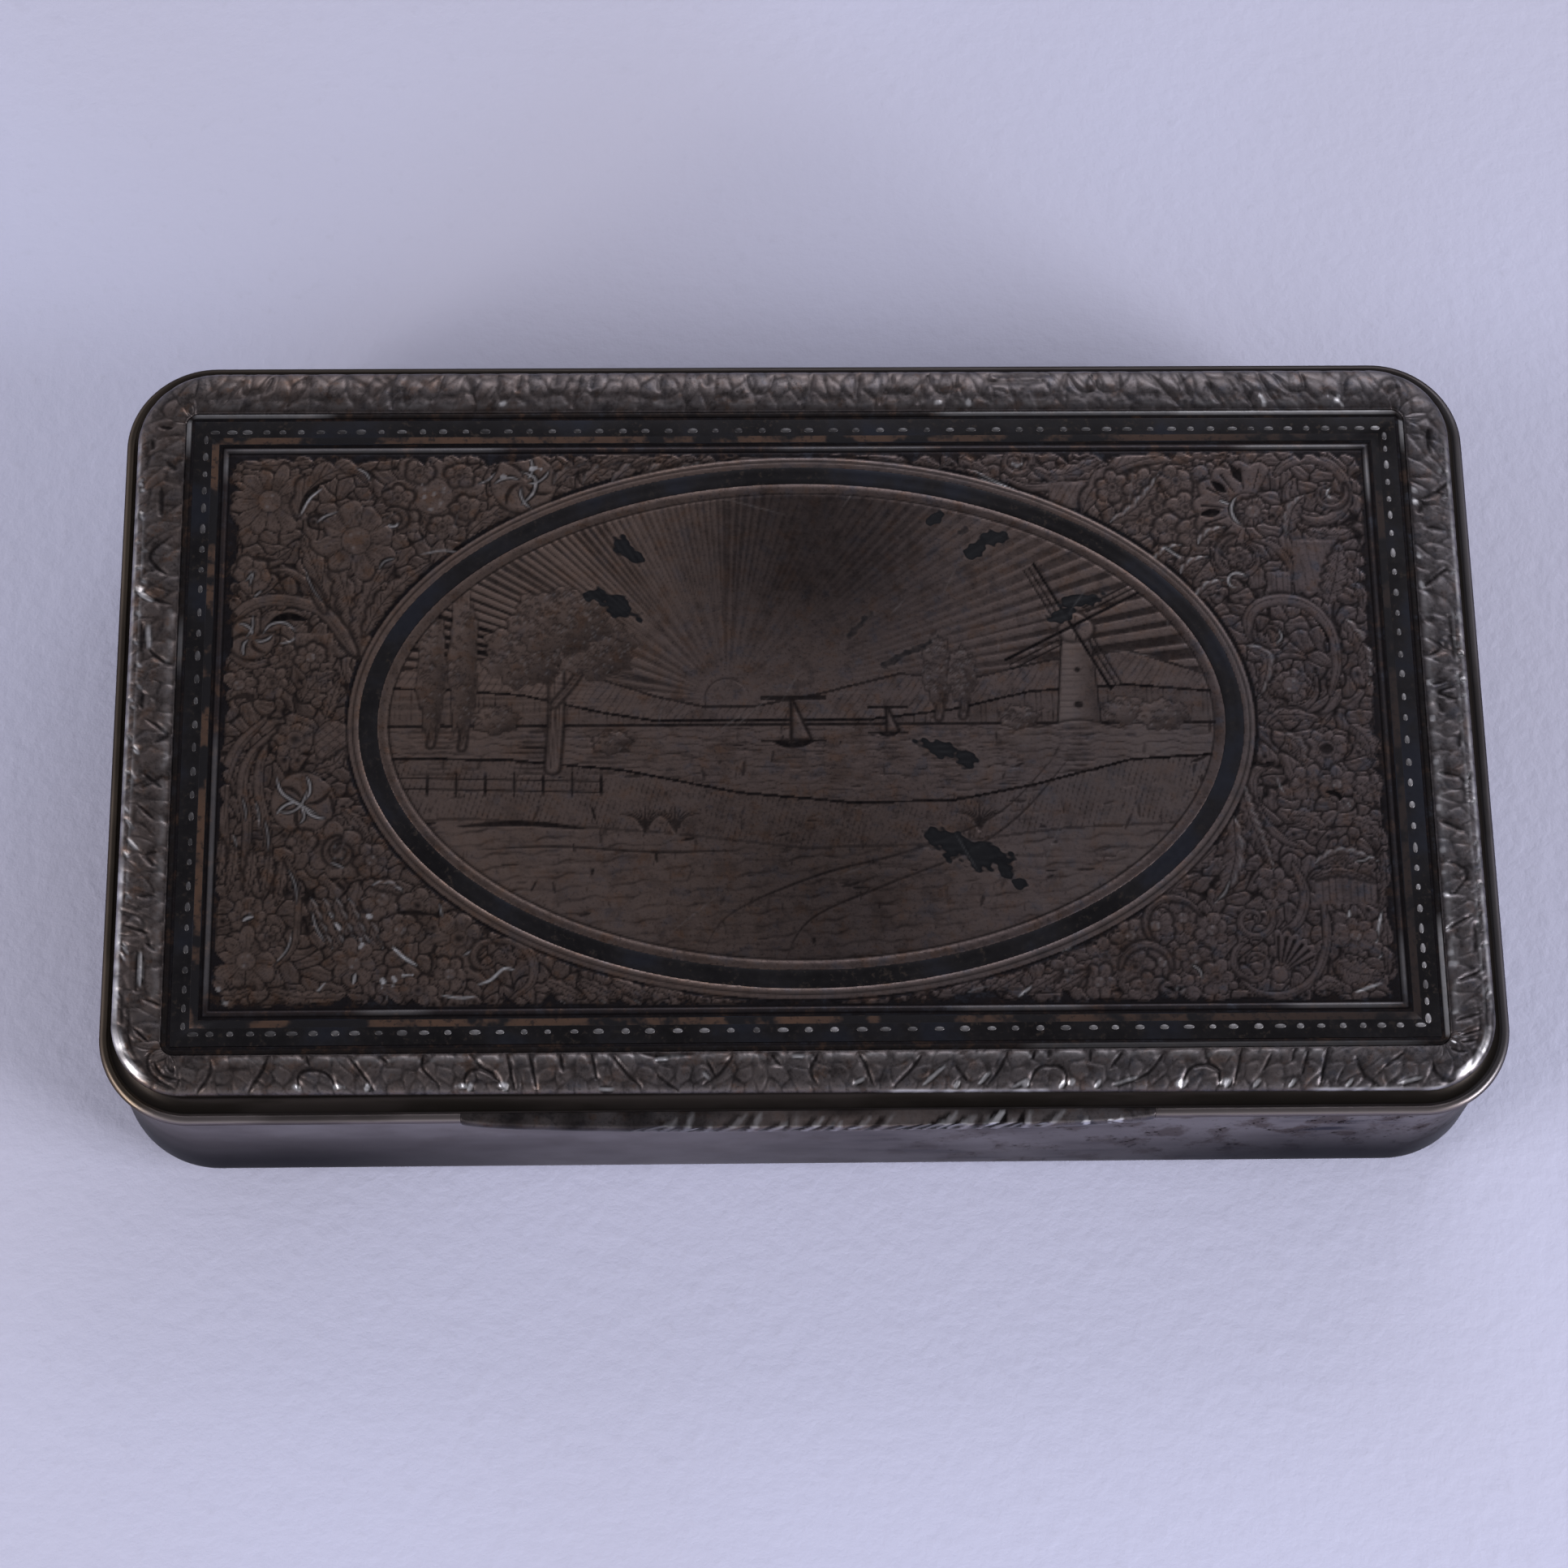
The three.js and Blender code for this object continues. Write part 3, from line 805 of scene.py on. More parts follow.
    def lattice(self, x, y, reach_x, reach_y, gap, turn):
        """A small patch of crossed lines."""
        where, gx, gy = self.round_about(x, y, reach_x, reach_y)
        inside = 1 - np.hypot((gx - x) / reach_x, (gy - y) / reach_y)
        self.swelling(where, inside * min(reach_x, reach_y), 0.0, 0.2, 0.05)
        for angle in (turn, -turn):
            self.hatch(where, gx, gy, within(inside / 0.08), angle, gap, 0.8, 0.3)

    def dot(self, x, y, radius, ink, gleam):
        where, gx, gy = self.round_about(x, y, radius, radius, 0.2)
        ragged = 1 + (0.4 * np.sin(9 * gx + 5 * y) + 0.3 * np.cos(11 * gy + 7 * x)) * (gleam > 0)
        spot = self.cover(radius * 0.9 - np.hypot(gx - x, (gy - y) * 1.2) * ragged)
        self.ink[where] = np.maximum(self.ink[where] * (1 - gleam * spot), ink * spot)
        at_least(self.gleam, gleam * spot, where)

    def sample(self, layer, x, y):
        """A layer read at any places on the silver."""
        values = getattr(self, layer)
        column = np.clip((x - self.x[0]) / (self.x[1] - self.x[0]), 0, len(self.x) - 1.001)
        row = np.clip((y - self.y[0]) / (self.y[1] - self.y[0]), 0, len(self.y) - 1.001)
        c, r = column.astype(int), row.astype(int)
        fc, fr = column - c, row - r
        near = values[r, c] * (1 - fc) + values[r, c + 1] * fc
        far = values[r + 1, c] * (1 - fc) + values[r + 1, c + 1] * fc
        return near * (1 - fr) + far * fr


# The corner ornament.

def corner_left_back(g):
    # The round flower at the left, with a leaf below and above it.
    g.acanthus(curve((-35.2, 12.4), (-34.6, 10.8), (-32.6, 10.8), (-31.2, 11.8)), 1.5, 4)
    g.acanthus(curve((-34.8, 17.6), (-33, 17.3), (-31, 17.7), (-28.6, 18)), 1.0, 5)
    g.petals(-32.8, 14.9, 2.5, 12, 8, 0.28, 0.3)
    # A sheaf of long leaves and the flower it holds.
    g.acanthus(curve((-27.4, 4.4), (-28.6, 7.2), (-29.6, 9.6), (-30.8, 12.8)), 2.1, 7, (0.9, 1.1), slant=1.6)
    g.acanthus(curve((-27.2, 4.2), (-27.6, 7.2), (-28.4, 10), (-29.4, 12.8)), 1.5, 8, slant=1.8)
    g.acanthus(curve((-27, 4.2), (-26.8, 7.4), (-26.2, 9.4), (-25.2, 11)), 1.5, 8, slant=1.8)
    g.acanthus(curve((-26.8, 5.8), (-25.8, 7.8), (-24.6, 9.2), (-22.6, 10.8)), 1.3, 6, (1, 0.8), 1.0)
    g.petals(-27.4, 12.2, 2.6, 8, 12, 0.2, 0.36)
    for turn in range(0, 360, 30):
        a = math.radians(turn)
        stops = [(-27.4 + r * math.cos(a), 12.2 + r * math.sin(a)) for r in (1.3, 2.3)]
        g.cut(curve(*stops), 0.12, 0.02, 0.5)
    # The large flower, with small ones on its petals.
    g.petals(-22.7, 15.2, 3.0, 7, 20, 0.3, 0.42)
    for x, y in ((-23.6, 16.9), (-21.1, 16.6), (-24.9, 15.1), (-24.4, 13.5), (-22.1, 13.1), (-20.7, 14.4)):
        g.petals(x, y, 0.95, 5, x * 40, 0.2, 0.35, "hole")
    for x, y in ((-23.4, 16), (-22.6, 15.4), (-22.2, 14.7), (-22.9, 14.3), (-22, 15.7), (-23.2, 15.2)):
        g.dot(x, y, 0.13, 0, 0.4)
    # The curled leaf between the flowers, cut bright.
    g.acanthus(
        curve((-31.1, 13.7), (-30.7, 15.2), (-29.6, 16.5), (-28.1, 17.1), (-27, 16.5), (-26.5, 15.5)),
        1.7, 5, (1.1, 0.5), 0.9,
    )
    g.cut(curve((-31, 13.8), (-30.4, 15.3), (-29, 16.2), (-27.6, 16)), 0.5, 0.05, 0.9)
    g.bright_cut(curve((-30.9, 13.9), (-30.3, 15.1), (-29.5, 15.8)), 0.22, 0.75)
    g.bright_cut(curve((-29.9, 13.4), (-29.3, 13.9), (-28.5, 14.2)), 0.2, 0.5)
    g.bright_cut(curve((-27.6, 17.2), (-26.9, 16.8), (-26.6, 16.2)), 0.16, 0.5)
    # The curl and the cuts between the flowers.
    g.band(spiral(-25, 13.5, 0.9, 130, -0.8), 0.4)
    g.bright_cut(spiral(-25, 13.5, 0.5, 200, 0.4), 0.2, 0.7)
    g.cut(curve((-24.9, 11.2), (-23.2, 11.7), (-20.2, 11.7)), 0.45, 0.06, 1.0, 0, (0.5, 0.2))
    g.bright_cut(curve((-23.6, 11.2), (-22, 11.5), (-20.8, 11.3)), 0.2, 0.45)
    g.bright_cut(curve((-26, 10.2), (-25.6, 10.8), (-24.9, 11)), 0.18, 0.4)
    # The whirl towards the oval, and the leaves that run on along the frame.
    g.acanthus(curve((-20.6, 12.6), (-19.2, 13.8), (-17.6, 14.2), (-16, 14)), 1.1, 5)
    g.whirl(-17.1, 16.1, 2.1, 7, 30, 1.0, 0.55)
    g.bright_cut(curve((-17.3, 16.9), (-16.4, 16.4), (-16.5, 15.4), (-17.3, 14.5)), 0.22, 0.55)
    g.cut(curve((-20.4, 16.9), (-19.2, 16.5), (-18.6, 17.4)), 0.3, 0.05, 0.9)
    g.bright_cut(curve((-20, 16), (-19.3, 16.3), (-18.8, 16.9)), 0.16, 0.5)
    g.dot(-16.4, 17.1, 0.22, 0, 0.8)
    g.dot(-18.3, 16.5, 0.16, 0, 0.7)
    for x in (-15.2, -13.4, -11.6, -9.8, -8):
        g.acanthus(curve((x, 16), (x + 0.9, 16.9), (x + 2.4, 17.4)), 1.0, 3, (1, 0.8), 0.9, light=0.2)
    for x in (-14.4, -12.4, -10.4, -8.4, -6.2, -4):
        g.acanthus(curve((x, 17.2), (x + 1.2, 17.8), (x + 2.6, 17.9)), 0.8, 4, (1, 0.7), 0.8)
    # The large scroll at the left edge, with a whirl in it.
    g.band(
        curve((-27.3, 4.6), (-28.4, 6.4), (-29.4, 7.5), (-31, 8.1), (-32.8, 8.2), (-34.2, 7.6), (-35, 6.2),
              (-34.7, 4.7), (-33.6, 3.9), (-32.3, 4.3)),
        0.85, (0.1, 0.3), 0.4,
    )
    g.band(curve((-29.2, 7.4), (-30, 9), (-31.4, 10.1), (-32.6, 10.2)), 0.6, (0.2, 0.4), 0.3)
    g.bright_cut(curve((-30.6, 10.6), (-30, 9), (-29.2, 7.9)), 0.16, 0.35)
    g.petals(-33.7, 9.9, 1.25, 6, 0, 0.1, 0.4)
    g.cut(curve((-33.9, 11), (-32.2, 10.9)), 0.34, 0.05, 0.8)
    g.bright_cut(curve((-34.2, 9.4), (-33.7, 10), (-33.9, 9.1)), 0.16, 0.5)
    g.bright_cut(curve((-33.6, 8.4), (-33.1, 8.9)), 0.18, 0.5)
    g.whirl(-33.6, 5.7, 1.45, 6, 70, 1.2, 0.6)
    g.bright_cut(curve((-33.6, 7.3), (-33.6, 6.4), (-34, 5.7)), 0.16, 0.5)
    g.acanthus(curve((-33, 6.1), (-32.2, 6.9), (-30.9, 7), (-30.2, 6.6)), 1.5, 2, (1, 1), 0.2)
    g.cut(curve((-32.8, 6.3), (-31.7, 7.1), (-30.2, 6.9)), 0.55, 0.05, 1.0)
    g.bright_cut(curve((-33, 5.9), (-32.5, 6.6), (-31.6, 6.7), (-30.8, 6)), 0.18, 0.6)
    g.bright_cut(curve((-32, 5.3), (-31.2, 5.5), (-30.6, 6.1)), 0.18, 0.6)
    # Small flowers and leaves at the middle of the side.
    g.hatch_patch((-31, -28.6), (4.2, 6), 75, 0.42, 0.5)
    g.petals(-31.6, 4.4, 0.9, 6, 10, 0.2, 0.35, "hole")
    g.petals(-30, 4.4, 1.0, 7, 40, 0.2, 0.35)
    g.petals(-32.3, 2.7, 1.1, 7, 0, 0.22, 0.35, "hole")
    g.petals(-34.3, 2.6, 1.1, 6, 20, 0.22, 0.35)
    g.acanthus(curve((-30.4, 1.6), (-29.6, 2.8), (-28.4, 3.5)), 1.4, 4)
    g.acanthus(curve((-29, 0.4), (-28.6, 1.8), (-28.2, 3)), 0.9, 4)
    g.cut(curve((-35, 1.6), (-33.8, 1.9), (-32.6, 1.4)), 0.4, 0.05, 0.8)
    g.cut(curve((-35.2, 0.8), (-33.4, 1.2)), 0.2, 0.04, 0.7)


def corner_right_back(g):
    # Leaves and a curl along the frame.
    for x in (4.4, 6.4, 8.4):
        g.acanthus(curve((x, 17.8), (x + 1.2, 17.6), (x + 2.6, 17)), 0.9, 4)
    g.acanthus(curve((9.4, 17.9), (10.8, 17.4), (12, 16.6)), 1.0, 4)
    g.bright_cut(curve((10.6, 17), (12.4, 16), (14.8, 14.8)), 0.16, 0.6)
    g.bright_cut(curve((10.9, 16.6), (13, 15.4), (15.2, 14.5)), 0.16, 0.4)
    g.band(spiral(13.6, 17.4, 1.3, 150, -1.5), 0.5, (0.1, 0.4))
    g.dot(13.7, 17.1, 0.2, 0, 0.6)
    g.band(curve((13, 16.2), (14.4, 15.6), (16.2, 15.8), (18, 16.8)), 0.6)
    g.acanthus(curve((14.6, 17), (16, 16.4), (17.8, 17), (19.6, 17.9)), 1.1, 5)
    g.hatch_patch((15.6, 18.2), (14.2, 16), 60, 0.4, 0.45)
    # The long leaf over two clusters of small flowers.
    g.acanthus(
        curve((17.6, 13.8), (18.3, 15.4), (19.8, 16.8), (22, 17.6), (24.4, 17.9), (27, 17.7)),
        1.9, 6, (0.8, 1.0), 0.6,
    )
    g.cut(curve((18.6, 14.4), (19.3, 15.7), (20.8, 16.8), (23, 17.3)), 0.3, 0.05, 0.8)
    for x, y, turn in (
        (20.4, 14.8, 0), (19.6, 15.6, 40), (21.4, 15.8, 80), (22.4, 14.2, 10), (21.2, 13.3, 60),
    ):
        g.petals(x, y, 1.1, 6, turn, 0.25, 0.3, "hole")
    g.acanthus(curve((19.4, 13.2), (20.8, 14), (22, 15.4), (22.6, 16.6)), 1.1, 5, light=0.35)
    for x, y, turn in (
        (24.9, 15.9, 0), (23.6, 16, 45), (24.1, 14.2, 90), (23.2, 12.7, 20), (24.6, 12.4, 70),
    ):
        g.petals(x, y, 1.15, 5, turn, 0.2, 0.3, "hole")
    # The shell, with dark slots round it.
    g.shell(28, 14, 3.5, 60, 262, 8, 0.34, 0.75)
    for stops in (
        ((27.7, 15.9), (27.1, 17.1)), ((26.7, 15.2), (25.8, 16)), ((26.3, 13.9), (25, 13.7)),
        ((26.6, 12.8), (25.4, 12.2)), ((29.2, 15.5), (29.7, 16.4)),
    ):
        g.cut(curve(*stops), 0.62, 0.07, 1.0, 0, (0.4, 0.5))
    g.bright_cut(spiral(28.2, 14, 1.25, 130, 0.3, 0.95), 0.22, 0.6)
    g.petals(28.3, 13.9, 1.0, 14, 0, 0.06, 0.5)
    g.bright_cut(curve((26.2, 14.7), (26.9, 14.4)), 0.16, 0.7)
    # The scrolls beside the shell.
    g.band(spiral(32.1, 15.1, 2.6, 150, -1.0, 0.6), 0.8, (0.15, 0.3), 0.45)
    g.band(spiral(33.1, 15.1, 1.2, 30, -1.1, 0.2), 0.45)
    g.acanthus(curve((30.4, 12.4), (30.8, 14), (31.6, 15)), 1.3, 4, light=0.3)
    g.acanthus(curve((34.4, 12.6), (33.4, 12.2), (31.4, 12.6)), 1.2, 4)
    g.bright_cut(curve((33.4, 14.6), (33, 15.1), (33.3, 15.6)), 0.16, 0.6)
    # Curls, leaves and hatching under the shell.
    g.band(spiral(27.3, 10.8, 1.5, 100, 0.9, 0.7), 0.5)
    g.petals(27.3, 10.8, 0.8, 8, 0, 0.1, 0.45, "hole")
    g.band(curve((28.2, 12), (29.4, 11.6), (30.4, 10.2), (30.2, 8.8)), 0.6)
    g.bright_cut(spiral(27, 9.1, 0.75, 20, 0.75, 0.4), 0.2, 0.6)
    g.dot(28.2, 8.8, 0.42, 0.9, 0)
    g.hatch_patch((28.9, 30.4), (8.2, 9.8), 90, 0.36, 0.6)
    g.hatch_patch((30.6, 33.4), (8.4, 12), 100, 0.55, 0.35)
    g.acanthus(curve((32.6, 7.6), (33.2, 9.6), (33.6, 11.8)), 1.6, 6)
    g.acanthus(curve((34.9, 7), (34.7, 9.4), (34.9, 11.8)), 0.9, 5)
    for x, y, turn in ((22.8, 11.2, 20), (24.4, 10.4, 60), (25.3, 8.8, 10), (25.6, 12.4, 45)):
        g.acanthus(curve((x - 0.8, y - 0.7), (x, y), (x + 0.9, y + 0.4)), 1.1, 3, light=0.45)
    g.bright_cut(curve((22.5, 11.6), (23.2, 11.1), (23.8, 10.6)), 0.2, 0.5)
    # The lower scroll, its curls and the flower in it.
    g.band(
        curve((27.7, 5.2), (27.6, 6.6), (28.4, 7.6), (30, 7.9), (31.6, 7.3), (32.6, 5.8), (32.9, 3.6),
              (32.4, 1.6)),
        0.85, (0.15, 0.4), 0.4,
    )
    g.band(spiral(28.9, 5.6, 1.0, 160, 1.1, 0.3), 0.45)
    g.cut(curve((29.8, 6.9), (31.5, 6.3), (32.2, 5.2), (32.4, 4.0)), 0.75, 0.06, 1.0)
    g.dot(28.7, 5.5, 0.3, 0.9, 0)
    g.bright_cut(curve((29.2, 4.9), (29.6, 5.4), (29.4, 6)), 0.16, 0.5)
    g.acanthus(curve((33.6, 6.6), (34.6, 4.6), (34.8, 2.2)), 1.3, 5, light=0.3)
    g.band(spiral(30, 2.3, 1.9, 60, 0.9, 0.85), 0.5, (0.1, 0.2), 0.6)
    g.petals(30, 2.2, 1.15, 10, 0, 0.08, 0.5)
    g.acanthus(curve((27.4, 4.8), (28.6, 4.2), (28.4, 2.6), (27.9, 1.4)), 0.9, 4, light=0.3)
    g.cut(curve((30.8, 3.9), (31.8, 3.0), (31.9, 1.6), (31.2, 0.6)), 0.6, 0.05, 0.95)


def corner_left_front(g):
    # Three stems that hang down the left side, with leaves at their ends.
    for stops, width, fade in (
        (((-32.6, 0.4), (-34.2, -1.4), (-34.9, -3.4), (-35, -5.4), (-34.6, -8.6)), 0.8, 0.4),
        (((-31.8, -0.2), (-33.4, -2), (-33.9, -4), (-33.5, -6.6), (-33.7, -10.6)), 0.75, 0.5),
        (((-31.4, -0.6), (-32.7, -2), (-32.9, -4.2), (-32.3, -7), (-32, -10.8)), 0.7, 0.5),
    ):
        g.band(curve(*stops), width, (0.3, fade), 0.3)
    for x, y, run in ((-33.9, -4.6, 1.7), (-33.1, -4.8, 1.9), (-32.5, -6, 2.2), (-34.4, -7, 1.2)):
        g.bright_cut(curve((x, y), (x + 0.25, y - run * 0.5), (x + 0.3, y - run)), 0.16, 0.42)
    for x, y in ((-35.1, -9), (-34.3, -9.4), (-33.2, -9.6), (-32.2, -9.8), (-31.4, -10.2)):
        g.acanthus(curve((x + 0.1, y + 1.6), (x, y), (x - 0.25, y - 1.5)), 0.75, 3)
    g.cut(curve((-32.4, -1), (-32.2, -2.4), (-32, -4.2)), 0.5, 0.05, 0.9)
    # A flower, a lattice and a whirl.
    g.petals(-30.8, -1, 1.25, 8, 0, 0.12, 0.45, "hole")
    g.lattice(-28.5, -1.2, 1.2, 1.5, 0.5, 40)
    g.acanthus(curve((-29.6, -3), (-28.4, -2.6), (-27.7, -1.6)), 0.9, 4)
    g.whirl(-30.2, -5.1, 2.0, 6, 40, 0.9, 0.7)
    g.bright_cut(curve((-31.9, -3.2), (-31.5, -4.4), (-30.4, -5.2), (-29.2, -5.9)), 0.2, 0.7)
    g.bright_cut(curve((-31.9, -5.6), (-31, -5.7), (-30.3, -5.2), (-29.9, -4.1)), 0.18, 0.55)
    g.bright_cut(curve((-30.3, -5.2), (-30.1, -6), (-30.4, -6.5)), 0.18, 0.5)
    g.cut(curve((-29.2, -3.6), (-28.4, -3.6), (-27.6, -3.9)), 0.36, 0.05, 1.0)
    g.cut(curve((-28.6, -4.6), (-28.3, -5.6), (-28.4, -6.4)), 0.36, 0.05, 0.8)
    g.acanthus(curve((-27.9, -5.4), (-26.9, -6.4), (-26, -7.8)), 0.9, 4)
    # The flowers below the whirl, with a stem that runs down beside them.
    g.petals(-28, -8.3, 1.9, 7, 0, 0.22, 0.4)
    g.band(spiral(-27.9, -8.3, 1.0, 90, 1.2, 0.3), 0.4)
    g.bright_cut(curve((-28.5, -8.9), (-28, -9.1), (-27.6, -9.3)), 0.18, 0.5)
    g.petals(-30.2, -7.6, 0.9, 6, 0, 0.2, 0.35, "hole")
    g.petals(-26, -8.8, 1.1, 6, 0, 0.2, 0.35)
    g.cut(curve((-30, -9.9), (-28.8, -10.1), (-27.8, -9.9)), 0.36, 0.05, 0.9)
    stem = curve((-31.1, -8.6), (-30.5, -10.2), (-30.3, -12.4), (-30.6, -14.4), (-31.9, -15.8))
    g.band(stem, 0.5, (0.2, 0.3))
    g.bright_cut(curve((-31, -9.2), (-30.5, -10.4), (-30.4, -11.6)), 0.16, 0.45)
    g.bright_cut(curve((-30.6, -13.2), (-30.9, -14.4), (-31.8, -15.5)), 0.16, 0.5)
    # The flowers in the corner.
    g.petals(-33.3, -12.3, 1.25, 8, 0, 0.14, 0.35)
    g.bright_cut(curve((-33.6, -12.6), (-33.3, -12.4), (-32.9, -12.3)), 0.24, 0.75)
    g.petals(-33.3, -15.1, 2.0, 9, 10, 0.25, 0.3)
    g.petals(-31.9, -13.6, 0.8, 6, 0, 0.2, 0.4, "hole")
    # A fan of leaves and the flowers round it.
    for k in range(5):
        x = -29.6 + k * 0.75
        g.acanthus(curve((x, -11.2), (x + 0.6, -12.8), (x + 1.4, -14.4)), 0.85, 4, light=0.3)
    g.bright_cut(curve((-29.5, -11.9), (-29.2, -13), (-28.6, -14)), 0.18, 0.5)
    g.bright_cut(curve((-28.1, -12.7), (-27.7, -13.2)), 0.26, 0.85)
    g.bright_cut(curve((-28.5, -12), (-28.2, -12.5)), 0.16, 0.5)
    g.petals(-26.9, -15.3, 1.5, 7, 0, 0.25, 0.3)
    g.bright_cut(curve((-26.9, -16.6), (-26.8, -15.9)), 0.24, 0.7)
    g.petals(-25.3, -11.3, 1.3, 6, 20, 0.25, 0.35)
    g.acanthus(curve((-25.9, -10.4), (-24.9, -10.4), (-24, -11)), 0.8, 3, light=0.5)
    g.petals(-23.2, -11.7, 1.3, 5, 0, 0.3, 0.35, "hole")
    g.petals(-24.2, -13.2, 1.2, 7, 0, 0.25, 0.35)
    g.cut(curve((-24.5, -12.2), (-23.4, -12.1), (-22.4, -12.3)), 0.34, 0.05, 0.9)
    g.bright_cut(curve((-24.7, -14.2), (-24, -14.9), (-23.1, -15.5)), 0.24, 0.9)
    for x, y in ((-25.1, -16.5), (-24.4, -16.4), (-23.7, -16.1), (-26.4, -14.1), (-26, -12.4)):
        g.dot(x, y, 0.17, 0, 0.8)
    g.bright_cut(curve((-29.7, -17.6), (-29, -17), (-28.5, -16.4)), 0.2, 0.7)
    g.bright_cut(curve((-24.9, -17.3), (-24.7, -17.9)), 0.16, 0.6)
    g.acanthus(curve((-32, -16.9), (-30, -17.4), (-27.6, -17.4), (-25.6, -17.4)), 1.0, 6)
    g.acanthus(curve((-34.9, -17.2), (-33.8, -17.2), (-32.8, -16.8)), 0.8, 3)
    for x, y in ((-34.9, -16.8), (-34.8, -17.3), (-34.5, -17.7)):
        g.dot(x, y, 0.14, 0, 0.5)
    # The flowers and the scroll towards the middle of the front.
    g.petals(-23.1, -17, 1.1, 6, 0, 0.25, 0.35, "hole")
    g.petals(-20.7, -13.8, 1.7, 7, 25, 0.28, 0.3, "hole")
    g.bright_cut(curve((-21.9, -11.5), (-21.7, -12.5)), 0.16, 0.5)
    g.bright_cut(curve((-20.5, -14.9), (-19.9, -14.5), (-19.5, -13.9)), 0.18, 0.55)
    g.cut(curve((-19.2, -13.1), (-18.6, -13.4), (-17.9, -13.4)), 0.34, 0.05, 0.9)
    g.band(spiral(-19, -15, 1.2, 0, 1.1, 0.3), 0.45)
    g.dot(-19.2, -14.9, 0.28, 0.9, 0)
    g.band(curve((-18.6, -13.9), (-17.2, -14.1), (-16.3, -15.2), (-16.4, -16.6), (-17.6, -17.6)), 0.7)
    g.bright_cut(curve((-19.6, -16.7), (-18.8, -16.4), (-18, -15.7), (-17.3, -15.8)), 0.24, 0.8)
    g.petals(-21.2, -16, 1.1, 6, 0, 0.2, 0.35)
    g.bright_cut(curve((-21.8, -17.3), (-20.6, -17.5), (-19.5, -17.4)), 0.2, 0.7)
    g.cut(curve((-21.8, -17.8), (-20.2, -17.8)), 0.34, 0.05, 1.0)
    # The leaves that run on along the frame.
    for x in (-15.6, -13.6, -11.6, -9.6, -7.4, -5.2):
        g.acanthus(curve((x, -16.4), (x + 1.1, -16.9), (x + 2.4, -17.6)), 0.95, 4, (0.8, 1), 0.9)
    for x in (-14.8, -12.4, -10.4):
        g.bright_cut(curve((x, -17.6), (x + 0.6, -18)), 0.13, 0.35)


